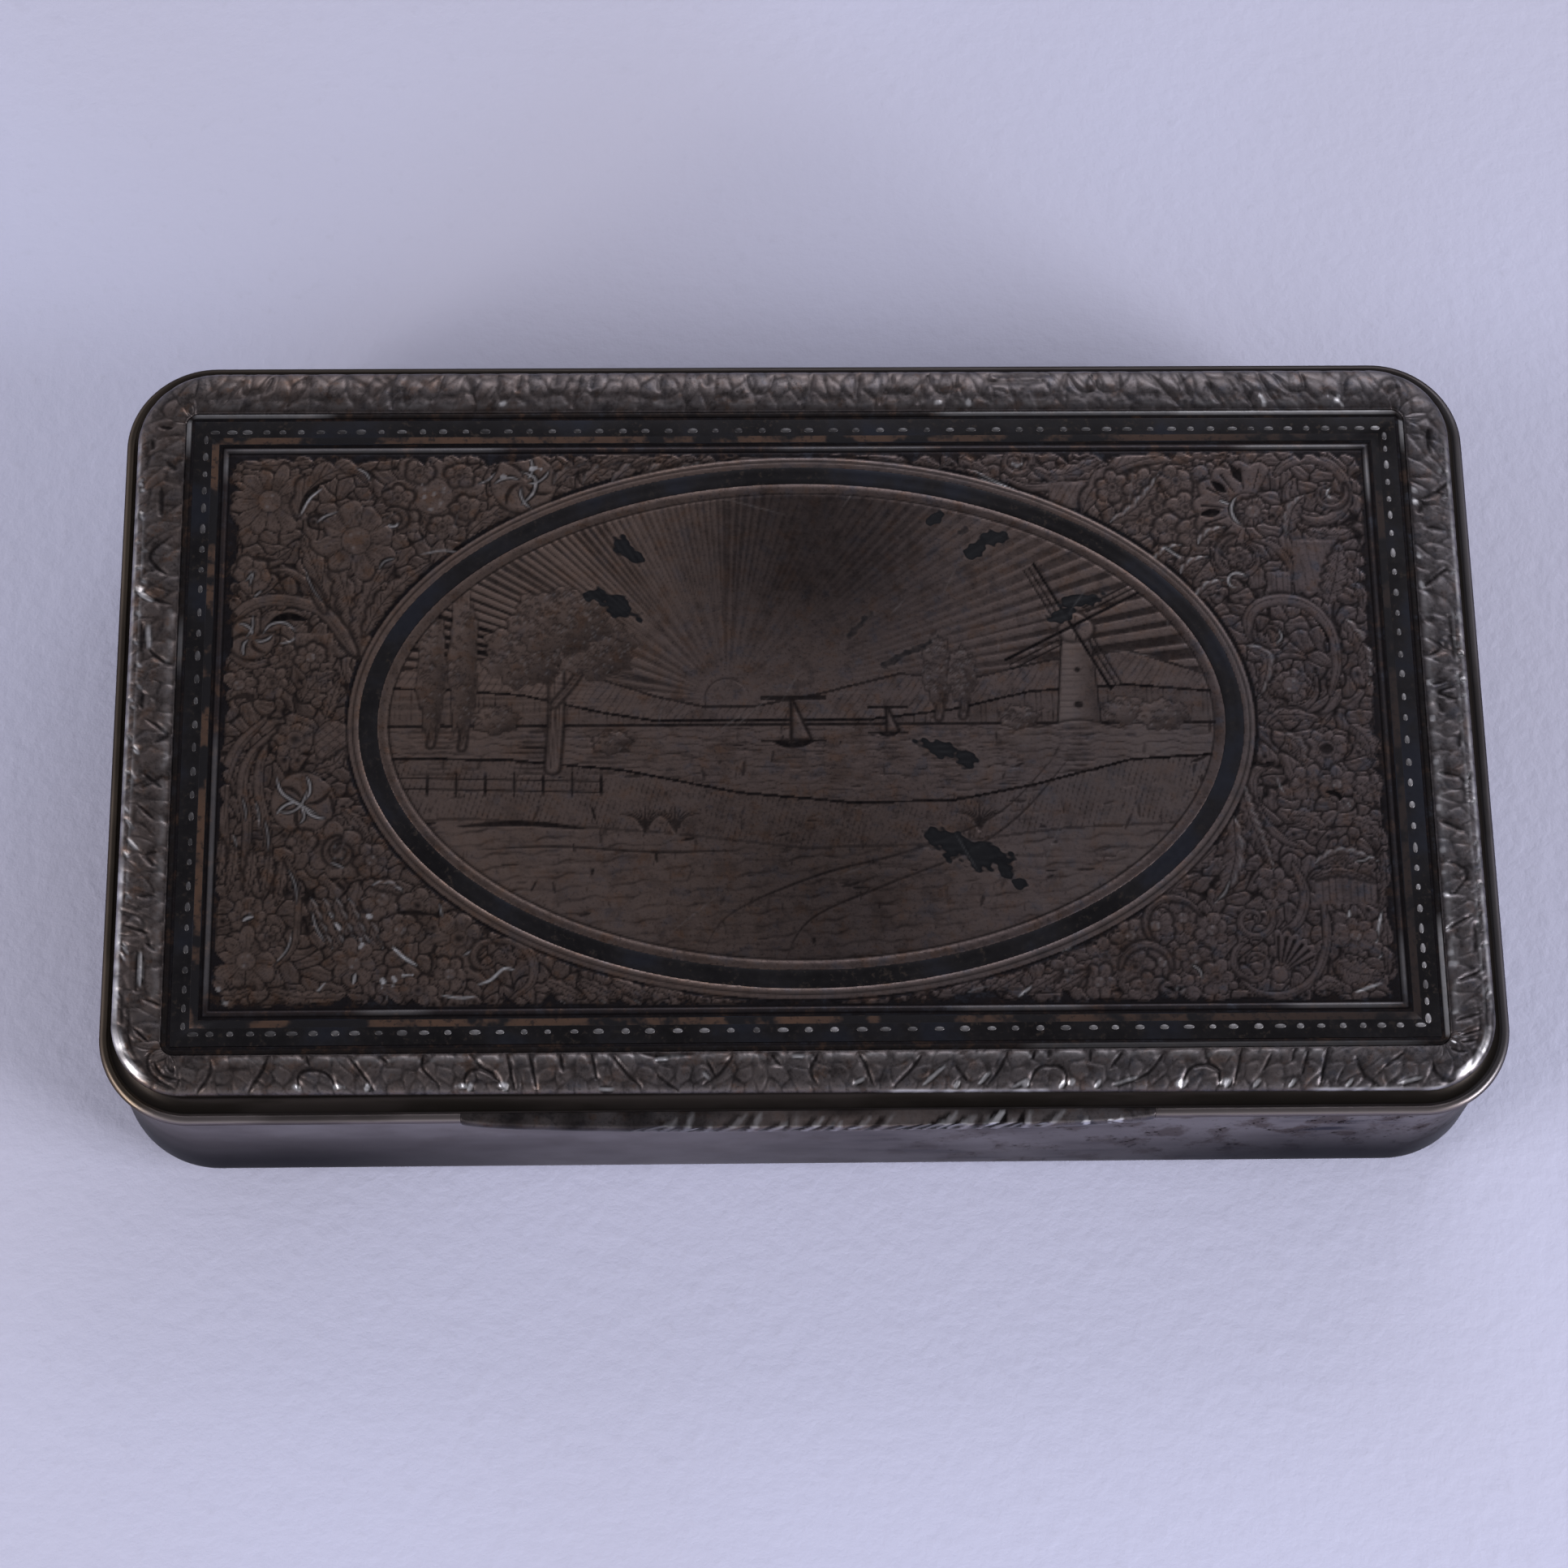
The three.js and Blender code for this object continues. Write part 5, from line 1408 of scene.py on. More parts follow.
def engrave_face():
    pitch = 0.1
    g = Engraving(-face_half[0], face_half[0], -face_half[1], face_half[1], pitch, -0.06, 0.4)
    x, y = g.x[None, :], g.y[:, None]
    inset = np.minimum(face_half[0] - np.abs(x), face_half[1] - np.abs(y))
    off = far_from_oval(x, y)
    half_band = oval_band / 2
    corner_left_back(g)
    corner_right_back(g)
    corner_left_front(g)
    corner_right_front(g)
    run = np.where(face_half[0] - np.abs(x) < face_half[1] - np.abs(y), y, x) + 1.1 * np.sin(x * 0.8 + y)
    ragged = 0.5 + 0.5 * np.sin(run * 0.9 + 2 * np.sin(run * 0.37))
    scallop = 2.5 + 0.2 * ragged + (0.25 + 0.4 * ragged) * (1 - np.abs(np.sin(run * 1.55))) ** 1.2
    corner = np.minimum(face_half[0] - np.abs(x), 4.6) + np.minimum(face_half[1] - np.abs(y), 4.6)
    scallop = np.maximum(scallop, scallop + (6.3 - corner) * 0.6)
    fill_between(g, (inset > scallop) & (off > half_band + light_band + 0.25))
    draw_sunrise(g, off < -half_band)
    scratch(g)
    g.height *= 0.4
    g.gleam **= 1.6

    for near, far, fair in ((-half_band - 0.63, -half_band, 0.0), (half_band, half_band + light_band, 0.6)):
        place = (off > near) & (off < far)
        middle = (near + far) / 2
        bow = within(1 - ((off - middle) / (far - near) * 2) ** 2)
        for layer in (g.ink, g.gleam, g.black):
            layer[place] = 0
        g.leaf[place] = 1
        g.fair[place] = (fair * (0.1 + 0.45 * bow))[place]
        g.height[place] = (0.05 * bow - 0.03)[place]
        if near < 0:
            g.ink[place] = 0.22
        if near > 0:
            split = stripe(off - middle - 0.04, 0.09)
            g.ink[place] = np.maximum(g.ink, 0.75 * split)[place]
            g.height[place] -= (0.03 * split)[place]
    for line, width in ((-half_band - 0.7, 0.1), (half_band + light_band + 0.06, 0.11)):
        share = stripe(off - line, width)
        g.mark(everywhere, 0.85 * share, 0.03)

    outside = off > half_band + light_band
    margin = (inset < scallop) & outside
    for layer, value in ((g.height, -0.05), (g.ink, 0.45), (g.gleam, 0), (g.leaf, 0), (g.fair, 0)):
        layer[margin] = value
    rim = stripe(inset - scallop, 0.09) * outside
    g.mark(everywhere, 0.8 * rim, 0.02)
    wire = stripe(inset - wire_inset, 0.11)
    groove = stripe(inset - (wire_inset - 0.24), 0.12)
    groove = np.maximum(groove, stripe(inset - (wire_inset + 0.22), 0.09))
    g.ink[:] = np.maximum(g.ink * (1 - wire), groove)
    g.height += 0.05 * wire - 0.03 * groove
    at_least(g.fair, wire * 0.12)
    # Painted highlights along the wire, in runs on each side.
    for on_x, side, low, high, lit in (
        (True, 1, -36, -18, 0.3), (True, 1, 27, 35.8, 0.35), (False, -1, 16, 18.6, 0.5),
        (False, -1, -18, 0, 0.24), (False, 1, 14.4, 18.4, 0.6), (False, 1, -18.4, -13.6, 0.3),
        (True, -1, -27, -22, 0.3), (True, -1, 8, 17, 0.22), (True, -1, 28, 35.8, 0.3),
        (True, 1, -2, 9, 0.16),
    ):
        place, across = (x, y) if on_x else (y, x)
        reach = within(np.minimum(place - low, high - place) / 1.5) * (across * side > 0)
        near = face_half[1 if on_x else 0] - np.abs(across) < 2.5
        at_least(g.gleam, 0.7 * lit * wire * reach * near)
    wear_black(g)
    g.black[(off > -half_band) & (off < half_band)] = 0
    dip = within((half_band - np.abs(off)) / 0.12)
    frame_middle = frame_edge + frame_band / 2
    dip = np.maximum(dip, within((frame_band / 2 - np.abs(inset - frame_middle)) / 0.12))
    g.height += dip * (-0.12 - g.height)
    g.ink += dip * (1 - g.ink)
    g.gleam *= 1 - dip
    g.fair *= 1 - dip
    return g


def scratch(g):
    """Fine scratches of long use."""
    pick = np.random.default_rng(3)
    for _ in range(90):
        x, y = pick.uniform(-34, 34), pick.uniform(-17, 17)
        turn, run = pick.normal(0.9, 0.7), pick.uniform(0.8, 5)
        end = (x + run * math.cos(turn), y + run * math.sin(turn))
        bright = pick.uniform() < 0.45
        g.cut(curve((x, y), end), 0.1, 0.008, 0 if bright else 0.35, 0.16 if bright else 0)


def make_face(finish):
    g = engrave_face()
    wide, deep = len(g.x), len(g.y)
    grid_x, grid_y = np.meshgrid(g.x, g.y)
    top = np.column_stack([grid_x.ravel(), grid_y.ravel(), (face_top + g.height).ravel()])
    seats = [np.column_stack([g.x, np.full(wide, y), np.full(wide, border_seat)]) for y in (g.y[0], g.y[-1])]
    points = np.vstack([top, *seats])
    front = wide * deep
    back = front + wide
    last = (deep - 1) * wide
    column = np.arange(wide - 1)
    quads = [
        skin(deep, wide, False, False),
        np.column_stack([front + column, back + column, back + column + 1, front + column + 1]),
        np.column_stack([front + column, front + column + 1, column + 1, column]),
        np.column_stack([back + column + 1, back + column, last + column, last + column + 1]),
    ]
    rows = np.arange(deep) * wide
    caps = [
        np.concatenate([[back, front], rows]),
        np.concatenate([[front + wide - 1, back + wide - 1], (rows + wide - 1)[::-1]]),
    ]
    layers = {name: np.concatenate([v.ravel(), np.zeros(2 * wide)]) for name, v in g.layers().items()}
    piece = make_piece("engraved_face", points, np.vstack(quads), finish, "lid", 70, caps, layers)
    half_x, half_y = face_half

    def spots(corners, low, tall, upright=False):
        place = points[corners]
        across = place[..., 2] - border_seat if upright else (place[..., 1] + half_y) / (2 * half_y)
        return np.stack([(place[..., 0] + half_x) / (2 * half_x), low + tall * across], -1)

    def end_spots(cap, start):
        place = points[cap]
        along_side = start + 0.45 * (place[:, 1] + half_y) / (2 * half_y)
        return np.stack([along_side, 0.9 + 0.05 * (place[:, 2] - border_seat)], -1)

    lay_flat(piece, [
        spots(quads[0], 0.0, 0.55), spots(quads[1], 0.6, 0.15), spots(quads[2], 0.78, 0.04, True),
        spots(quads[3], 0.84, 0.04, True), end_spots(caps[0], 0.0), end_spots(caps[1], 0.5),
    ])
    stand_for(piece, "engraved_silver", "lid_panel")


def make_oval_band(finish):
    half = oval_band / 2
    profile = [
        (-half, inlay_foot), (half, inlay_foot), (half, 14.185), (half - 0.06, 14.197), (0.2, 14.185),
        (0, 14.18), (-0.2, 14.185), (0.06 - half, 14.197), (-half, 14.185),
    ]
    turn = np.linspace(0, 2 * math.pi, 320, endpoint=False)
    rings = []
    for out, z in profile:
        ring_x = (oval_half[0] + out) * np.cos(turn)
        ring_y = (oval_half[1] + out) * np.sin(turn)
        rings.append(np.column_stack([ring_x, ring_y, np.full(len(turn), z)]))
    quads = skin(len(rings), len(turn), True, True)
    piece = make_piece("black_oval", np.vstack(rings), quads, finish, "lid")
    stand_for(piece, "niello", "niello_oval")


def make_black_frame(black, brown):
    end = frame_edge + frame_band
    profile = [
        (end, inlay_foot), (frame_edge, inlay_foot), (frame_edge, 14.18), (frame_edge + 0.05, bead_seat),
        (1.28, bead_seat), (1.3, 14.175), (end - 0.06, 14.175), (end, 14.17),
    ]
    brown_span = 5

    def frame_outline(inset):
        return (face_half[0] - inset, face_half[1] - inset, face_half[1] - inset, 0.02)

    layers = [(frame_outline(inset), z) for inset, z in profile]
    piece = loft(
        "black_frame", layers, [black, brown], "lid", True, corner_steps=1,
        finish_of=lambda span: int(span == brown_span),
    )
    stand_for(piece, "niello", "niello_frame")


def make_beads(finish):
    """The row of small silver seeds set in the black frame."""
    around, levels = 10, 5
    half_x, half_y = face_half[0] - bead_inset, face_half[1] - bead_inset
    pick = np.random.default_rng(9)
    places = []
    for side, count in bead_counts.items():
        upright = side in ("left", "right")
        half, cross = (half_y, half_x) if upright else (half_x, half_y)
        cross *= -1 if side in ("left", "front") else 1
        for k in range(count):
            share = (k + 0.5) / count - 0.5
            run = 2 * half * (1.12 * share - 0.48 * share**3) + pick.uniform(-0.1, 0.1)
            places.append((cross, run, True) if upright else (run, cross, False))
    rise = np.array([0.0, 0.55, 0.85, 1.0])
    reach = np.array([1.0, 0.82, 0.5, 0.12])
    turn = np.linspace(0, 2 * math.pi, around, endpoint=False)
    points, quads, caps, worn = [], [], [], []
    for k, (x, y, upright) in enumerate(places):
        long_half = pick.uniform(0.2, 0.36)
        short_half = pick.uniform(0.14, 0.2)
        size = (short_half, long_half) if upright else (long_half, short_half)
        start = k * levels * around
        for level, width in zip((-0.06, *(0.04 * rise)), (1.0, *reach)):
            ring_x = x + width * size[0] * np.cos(turn)
            ring_y = y + width * size[1] * np.sin(turn)
            points.append(np.column_stack([ring_x, ring_y, np.full(around, bead_seat + level)]))
        quads.append(start + skin(levels, around, False, True))
        caps += [start + np.arange(around)[::-1], start + (levels - 1) * around + np.arange(around)]
        # Painted highlight: brighter at the right end and along the front, rising to each bead's top; the
        # random share is uneven wear.
        painted_shine = 0.2 + 0.4 * (x > 36) + 0.3 * (y < -19) * within((x + 30) / 12) + 0.1 * (x > 0)
        painted_shine *= pick.uniform(0.4, 1.3)
        worn.append(np.repeat([0.0, 0.2 * painted_shine, 0.6 * painted_shine, painted_shine, 1.2 * painted_shine], around))
    piece = make_piece(
        "silver_beads", np.vstack(points), np.vstack(quads), finish, "lid", 60, caps,
        {"gleam": within(np.concatenate(worn))},
    )


# The chased border round the lid.

side_middles = {
    "back": (corner_run + straight_half[0], -1),
    "left": (2 * corner_run + long_run + straight_half[1], -1),
    "front": (3 * corner_run + long_run + short_run + straight_half[0], 1),
    "right": (4 * corner_run + 2 * long_run + short_run + straight_half[1], 1),
}
border_run = 4 * corner_run + 2 * long_run + 2 * short_run


def run_at(side, place):
    """The run round the lid at a place along one side, from that side's middle."""
    middle, way = side_middles[side]
    return middle + way * place


# The larger strokes along each side: places from the side's middle, and insets.
border_strokes = {
    "front": (
        ((-39.4, 3.2), (-38.4, 2.4), (-37, 1.9)), ((-38.6, 3), (-37.6, 2.5), (-36.6, 2.4)),
        ((-37.4, 3), (-37, 2.8), (-36.8, 3.1)), ((-34.4, 3.5), (-34.9, 2.5), (-35.9, 1.6)),
        ((-31.1, 3.7), (-31.8, 2.7), (-32.9, 1.6)), ((-28.9, 3.75), (-28.9, 3.1)),
        ((-26.5, 3.6), (-26, 2.7), (-25.5, 1.7)), ((-24.6, 3.6), (-24.3, 3.2)),
        ((-22.2, 3.7), (-22.4, 2.9), (-21.7, 2)), ((-19.5, 3.7), (-19, 3), (-18.2, 2.2)),
        ((-17.4, 3.75), (-17.3, 1.7)), ((-16.1, 3.75), (-16, 1.7)), ((-14.3, 3.7), (-14.3, 2.6)),
        ((-12.5, 3.75), (-12.4, 2.2)), ((-11.3, 3.6), (-10.7, 2.6), (-9.8, 1.8)),
        ((-8.9, 2.5), (-8.3, 2), (-7.6, 1.6)), ((-5.9, 3.3), (-5.5, 2.4)),
        ((-4.3, 3.6), (-5.2, 2.5), (-6.2, 1.9)), ((-2.2, 3.6), (-1.6, 2.9)),
        ((0.6, 3.7), (0.1, 2.6), (0.5, 1.9)), ((2.9, 3.6), (3.4, 2.7), (3.8, 1.8)),
        ((6.6, 3.5), (5.9, 2.6), (5, 1.8)), ((8.5, 2.9), (9.3, 2)),
        ((11.6, 3.7), (11.1, 2.6), (10.5, 1.8)), ((13.1, 3.7), (13, 3.1)), ((13.9, 3.7), (13.9, 3.2)),
        ((16.3, 3.75), (16.4, 3)), ((18.2, 3.6), (17.6, 2.6)), ((20.6, 3.5), (20.1, 2.6), (19.2, 2)),
        ((22.9, 3.7), (23.4, 2.9), (24.2, 2.5)), ((25.1, 3.75), (25.1, 1.8)), ((26.9, 3.4), (26.6, 2.4)),
        ((28.2, 3.7), (28.2, 2.9)), ((29, 3.6), (29, 2.2)), ((30.1, 3.75), (30.2, 1.8)),
        ((31.8, 3.3), (32.6, 2.3), (33.8, 1.7)), ((34.6, 3.4), (33.7, 2.6)),
        ((36.4, 3), (36.9, 2.2), (37.6, 1.7)), ((38.2, 3.4), (38.9, 2.6)), ((40, 3.3), (40.3, 2.3)),
    ),
    "back": (
        ((-35.2, 3.1), (-34.7, 2)), ((-31.4, 3.5), (-30.7, 2.7), (-30.9, 1.8)), ((-30.2, 2.4), (-31, 1.7)),
        ((-32.9, 2.8), (-33, 1.8)), ((-26.3, 3), (-25.6, 2.2), (-26.1, 1.6)),
        ((-24.8, 3.6), (-25.3, 2.4), (-25.2, 1.6)), ((-22.4, 3.2), (-22.2, 1.7)),
        ((-19.8, 3.3), (-20.2, 2.6), (-20.9, 1.7)), ((-18.9, 3.2), (-18.6, 2.4), (-18.9, 1.7)),
        ((-17.4, 2.7), (-17.4, 1.7)), ((-15.1, 2.4), (-15.1, 1.7)), ((-13.8, 3.6), (-13.6, 1.7)),
        ((-12.8, 2.6), (-12.7, 1.7)), ((-8.6, 2.7), (-8.5, 1.7)), ((-5.6, 2.4), (-5.6, 1.7)),
        ((0.1, 3.3), (0.8, 2.5), (1.1, 1.7)), ((3.6, 3), (3.8, 2.4), (4.1, 1.6)),
        ((5.1, 3.4), (5.7, 2.6), (6.1, 1.7)), ((5.6, 2.85), (7.2, 2.85)),
        ((7.4, 3.4), (8, 2.6), (8.5, 1.6)), ((11.3, 3.2), (11.8, 2.5), (12.2, 1.7)),
        ((12.2, 2.25), (15.5, 2.2)), ((12.4, 1.8), (16.2, 1.8)), ((16, 3.3), (16.6, 2.5), (17.1, 1.7)),
        ((23.5, 3.5), (22.9, 2.6), (22.2, 1.6)), ((24.4, 3.2), (24.2, 1.7)), ((26.1, 3.4), (25.7, 2.3)),
        ((28.1, 3.5), (27.9, 2.5), (28, 1.7)), ((29.4, 3.3), (29.2, 1.7)),
        ((33.9, 3.2), (34.3, 2.5), (34.9, 1.6)), ((36.8, 3), (37.6, 2.4)), ((-38.4, 3.6), (-37.6, 3.4)),
        ((-36.2, 3), (-35.4, 2.9)),
    ),
    "left": (
        ((-17.1, 3.8), (-17, 2.9)), ((-16.8, 2.6), (-14.2, 2.6)), ((-13, 3.1), (-12.8, 1.9)),
        ((-14, 3.4), (-13.6, 2.9)), ((-8.9, 3.2), (-8.2, 2.6)), ((-7.9, 3.3), (-8.2, 2.7)),
        ((-6, 3.1), (-5.1, 2.3)), ((-4, 3.4), (-3.1, 2.5)), ((-3.1, 3.5), (-4.1, 2.4)),
        ((-1.2, 2.9), (-0.6, 3.5), (0.4, 2.5)), ((1, 2.3), (2.2, 2.3)), ((3.7, 3.7), (4.2, 3), (4.9, 2.5)),
        ((4.8, 2.15), (6.8, 2.1)), ((7.6, 3.5), (8.2, 2.6), (9, 1.7)),
        ((9.6, 3.2), (10.4, 2.6), (11.3, 2.4), (12.2, 3.4)), ((13.6, 2.8), (15.6, 2.75)),
        ((16.4, 3.4), (17.3, 2.9)), ((18.3, 2.3), (19.1, 2.2)), ((19.4, 3.2), (19.7, 2.5)),
        ((-19.6, 3.3), (-19, 2.6)), ((-10.6, 3.3), (-10.9, 2.5)),
    ),
    "right": (
        ((-18.7, 3.5), (-18.8, 2.2)), ((-16.4, 3.3), (-16.2, 1.9)), ((-15.1, 2.3), (-13.1, 2.2)),
        ((-13.2, 3.7), (-12.7, 2.4)), ((-11.2, 3.2), (-10.4, 2.5), (-9.7, 2.5), (-9, 3.3)),
        ((-6.5, 3.5), (-7.3, 2.4)), ((-3.5, 3.4), (-3.8, 2.4)), ((-2, 2.3), (-1, 2.2)),
        ((0.2, 2.9), (1.1, 3.3)), ((1.2, 2.3), (1.6, 3.1), (2, 2.3)), ((2.1, 3.4), (2.3, 2.7)),
        ((3.9, 3.4), (4.6, 2.8), (5.1, 3.4)), ((3.8, 2.1), (6.7, 2.3)),
        ((8.3, 3.5), (9.1, 2.8), (9.9, 2.2)), ((12.4, 3.1), (12.5, 2.1)),
        ((14.2, 3.1), (15.1, 2.3), (16.2, 1.6)), ((13.2, 3.4), (14, 3.1)), ((17.4, 2.6), (19.4, 2.6)),
        ((-20.6, 3.2), (-20.2, 2.4)),
    ),
}


def chase_cells(g, pick):
    """The fine cells that crowd the whole border; paler along the back, a painted reflection of the bright
    floor behind.
    """
    back_end = back_seeds = 77
    seeds = []
    for inset, pitch in ((1.7, 1.0), (2.5, 1.15), (3.4, 1.45)):
        for place in np.arange(0.3, border_run, pitch):
            if place < back_end and inset == 1.7 and round(place / pitch) % 2:
                continue
            slant = 0.75 * math.sin(place * 0.55 + 1.3 * math.sin(place * 0.13)) + pick.uniform(-0.5, 0.5)
            seeds.append((place + pick.uniform(-0.3, 0.3), inset + pick.uniform(-0.2, 0.2), 1.57 + slant))
    owner, gap, ahead, aside = g.crowd(seeds, 2.2, 0.75, 1.2, 0.2)
    tone = pick.normal(0, 1, len(seeds))[owner]
    patchy = 0.5 + 0.5 * np.sin(g.x * 1.7 + 2 * np.sin(g.x * 0.6))[None, :] * np.sin(g.y * 3 + 1)[:, None]
    edge = stripe(gap, 0.2, 1.25) * (0.35 + 0.5 * patchy)
    streak = within((np.abs((aside * 3.2 + 0.3 * ahead) % 1 - 0.5) * 2 - 0.6) / 0.4)
    g.height += 0.06 * (1 - (1 - within(gap / 0.6)) ** 2) - 0.02 * streak * (owner % 3 == 0)
    g.ink[:] = np.maximum.reduce([edge, 0.22 * np.clip(-tone, 0, 1.5), 0.3 * streak * (owner % 3 == 0)])
    g.fair[:] = 0.14 * np.clip(tone, 0, 1.5) + 0.16 * (owner < back_seeds) * (g.x < back_end)


def chase_border():
    """The border laid out flat: the run round the lid from its right back corner, and the inset across."""
    g = Engraving(0, border_run, border_from, face_from, 0.08)
    pick = np.random.default_rng(21)
    g.leaf[:] = 1
    chase_cells(g, pick)

    def on(side, *stops):
        return curve(*[(run_at(side, place), inset) for place, inset in stops])

    def panel(side, low, high, inner, outer, fair, ink):
        """Lightens or darkens the silver between two places, softly."""
        ends = sorted((run_at(side, low), run_at(side, high)))
        where, run, across = g.window((ends[0], outer), (ends[1], inner))
        inside = np.minimum(np.minimum(run - ends[0], ends[1] - run) / 0.3,
                            np.minimum(across - outer, inner - across) / 0.2)
        share = within(inside)
        at_least(g.fair, fair * share, where)
        at_least(g.ink, ink * share, where)

    def lobe(side, low, high, light):
        """A raised, paler scallop along the border's inner edge, with a painted highlight on its crest."""
        inset, tall = 3.4, 0.27
        middle, half = run_at(side, (low + high) / 2), max(abs(high - low) / 2, 0.2)
        where, run, across = g.window((middle - half, inset - tall), (middle + half, inset + tall))
        inside = within(1.5 * (1 - ((run - middle) / half) ** 4 - ((across - inset) / tall) ** 2))
        streaks = 0.75 + 0.25 * np.sin(run * 17) * np.sin(across * 9 + run)
        crest = stripe(across - inset - 0.1 + 0.2 * ((run - middle) / half) ** 2, 0.12, 1.2)
        at_least(g.gleam, light * inside * streaks * (0.12 + 0.3 * crest), where)
        at_least(g.fair, 0.4 * light * inside, where)
        g.height[where] += 0.03 * inside

    def painted_shine(side, low, high, inner, outer, lit):
        """A painted highlight: a bright run along the border's edge."""
        ends = sorted((run_at(side, low), run_at(side, high)))
        where, run, across = g.window((ends[0], outer), (ends[1], inner))
        inside = within(np.minimum(run - ends[0], ends[1] - run)) * (across > 0)
        beat = 0.65 + 0.35 * np.sin(run * 3.1 + 2 * np.sin(run * 1.3))
        at_least(g.gleam, lit * inside * beat, where)

    def stroke(side, *stops, width=0.3, ink=1.0):
        line = on(side, *stops)
        g.cut(line, width * 1.9, 0.03, ink * 0.45, 0, (0.2, 0.25))
        g.cut(line, width * 0.9, 0.07, ink, 0, (0.25, 0.3))

    # A small bright dot: a painted glint.
    def spark(side, place, inset, radius):
        g.dot(run_at(side, place), inset, radius, 0, 0.8)

    def arch(side, middle, half, lit):
        low, high = 1.75, 2.85
        stroke(side, (middle - half, low), (middle - half * 0.7, high - 0.25), (middle, high),
               (middle + half * 0.7, high - 0.25), (middle + half, low), ink=0.9 if lit else 0.5)
        if lit:
            spark(side, middle - half * 1.12, low + 0.15, 0.17)
            spark(side, middle + half * 1.12, low + 0.15, 0.17)


    half_runs = {"front": 39, "back": 38, "left": 21, "right": 21}
    for side, strokes in border_strokes.items():
        reach = half_runs[side]
        behind = side == "back"
        for _ in range(round(reach * 5)):
            place, inset = pick.uniform(-reach, reach), pick.uniform(2.7 if behind else 1.8, 3.6)
            turn, bow, run = pick.uniform(0, math.pi), pick.uniform(-0.25, 0.25), pick.uniform(0.15, 0.45)
            ax, ay = run * math.cos(turn), run * math.sin(turn)
            bowed = (place - bow * ay, inset + bow * ax)
            nick = on(side, (place - ax, inset - ay), bowed, (place + ax, inset + ay))
            g.cut(nick, 0.14, 0.02, pick.uniform(0.2, 0.65))
        # Along the back, the inner slope is darkened: painted shade.
        if behind:
            panel(side, -reach, reach, 3.9, 2.75, 0, 0.55)
            panel(side, -reach, reach, 2.75, 1.5, 0, 0.1)
        else:
            panel(side, -reach, reach, 2.1, 1.5, 0, 0.12)
            panel(side, -reach, reach, 3.9, 1.5, 0, 0.0 if side == "front" else 0.15)
        edges = sorted(stops[0][0] for stops in strokes if stops[0][1] > (3.1 if behind else 3.45))
        for low, high in zip(edges, edges[1:]):
            pieces = max(1, round((high - low) / 2.2))
            for k in range(pieces):
                ends = [low + (high - low) * (k + share) / pieces for share in (0.08, 0.92)]
                # Front lobes get a stronger painted highlight than those along the back.
                light = pick.uniform(0.1, 0.35) if behind else pick.uniform(0.35, 0.85)
                lobe(side, *ends, light)
                if behind:
                    # Paler runs on the back's outer half: painted reflection of the floor behind.
                    trend = np.interp(low, (-38, -26, -14, -4, 3, 20, 38), (0, 0.3, 0, 0, 0.35, 0.45, 0.3))
                    panel(side, *ends, 2.6, 1.5, trend * pick.uniform(0.5, 1.2), 0)
                else:
                    panel(side, *ends, 3.1, 1.8, pick.uniform(0, 0.3), pick.uniform(0, 0.2))
        for stops in strokes:
            stroke(side, *stops, width=0.4 if behind else 0.3, ink=0.6 if behind else 0.9)
    arches = (
        ("front", (-28.8, -19.1, 14.1, 23.1), 1.15), ("back", (-33.8, -2.3, 9.2, 18.1, 19.5, 31.1), 0.9),
        ("left", (-12.7,), 0.8), ("right", (4.9,), 0.6),
    )
    for side, middles, half in arches:
        for middle in middles:
            arch(side, middle, half, side == "front")
    g.cut(on("front", (-9.6, 3.62), (-8.2, 3.5), (-6.6, 3.6)), 0.24, 0.05, 1.0)
    # Bright cuts along the front and left: painted highlights.
    for stops, lit in (
        (((6.7, 1.8), (7.4, 2.4), (8, 2.9)), 0.8), (((10, 1.85), (10.6, 2.5)), 0.75),
        (((12, 1.7), (12.9, 2.1)), 0.5), (((2.6, 1.9), (3.3, 2.2)), 0.6),
        (((-8.9, 3.35), (-8.1, 3.35)), 1.0), (((-1, 3.45), (-0.2, 3.45)), 0.7),
        (((-12.4, 1.7), (-11.4, 1.7)), 0.4), (((-6.2, 2.6), (-5.8, 2.2)), 0.5),
        (((17.9, 1.8), (19.4, 2.2)), 0.4), (((34.8, 1.8), (36.2, 2.1)), 0.6),
    ):
        g.bright_cut(on("front", *stops), 0.2, lit)
    for place in (-25.9, -19.9, -17.8, 8.7, 14.9, 17.0, 22.1, 24.7, 26.4, 28.5, 31.9):
        g.bright_cut(on("front", (place - 0.1, 1.65), (place + 0.15, 2.05)), 0.24, 0.95)
    for place, wide in ((28.9, 0.17), (33.4, 0.19), (-18.2, 0.12), (8.8, 0.12), (10.6, 0.12)):
        spark("back", place, 3.35, wide)
    for stops in (
        ((-8, 2.4), (-7.3, 1.9)), ((8, 2.6), (8.6, 2.1), (9.3, 1.7)), ((-17.4, 1.8), (-16.9, 1.6)),
        ((4.9, 2.5), (6.6, 2.4)), ((-16.4, 2.75), (-14.2, 2.75)),
    ):
        g.bright_cut(on("left", *stops), 0.2, 0.8)
    for place, lit in (
        (-20.9, 0.13), (-20.1, 0.1), (-18.2, 0.1), (-15.2, 0.2), (-14.6, 0.14), (-13, 0.1), (-11, 0.12),
        (-9.7, 0.12), (-8.3, 0.14), (-5.8, 0.16), (-2.9, 0.13), (-0.2, 0.15), (2.2, 0.13), (8.6, 0.15),
        (10.3, 0.12), (13.9, 0.2), (14.7, 0.2), (20.2, 0.14),
    ):
        spark("right", place, 3.55, lit)
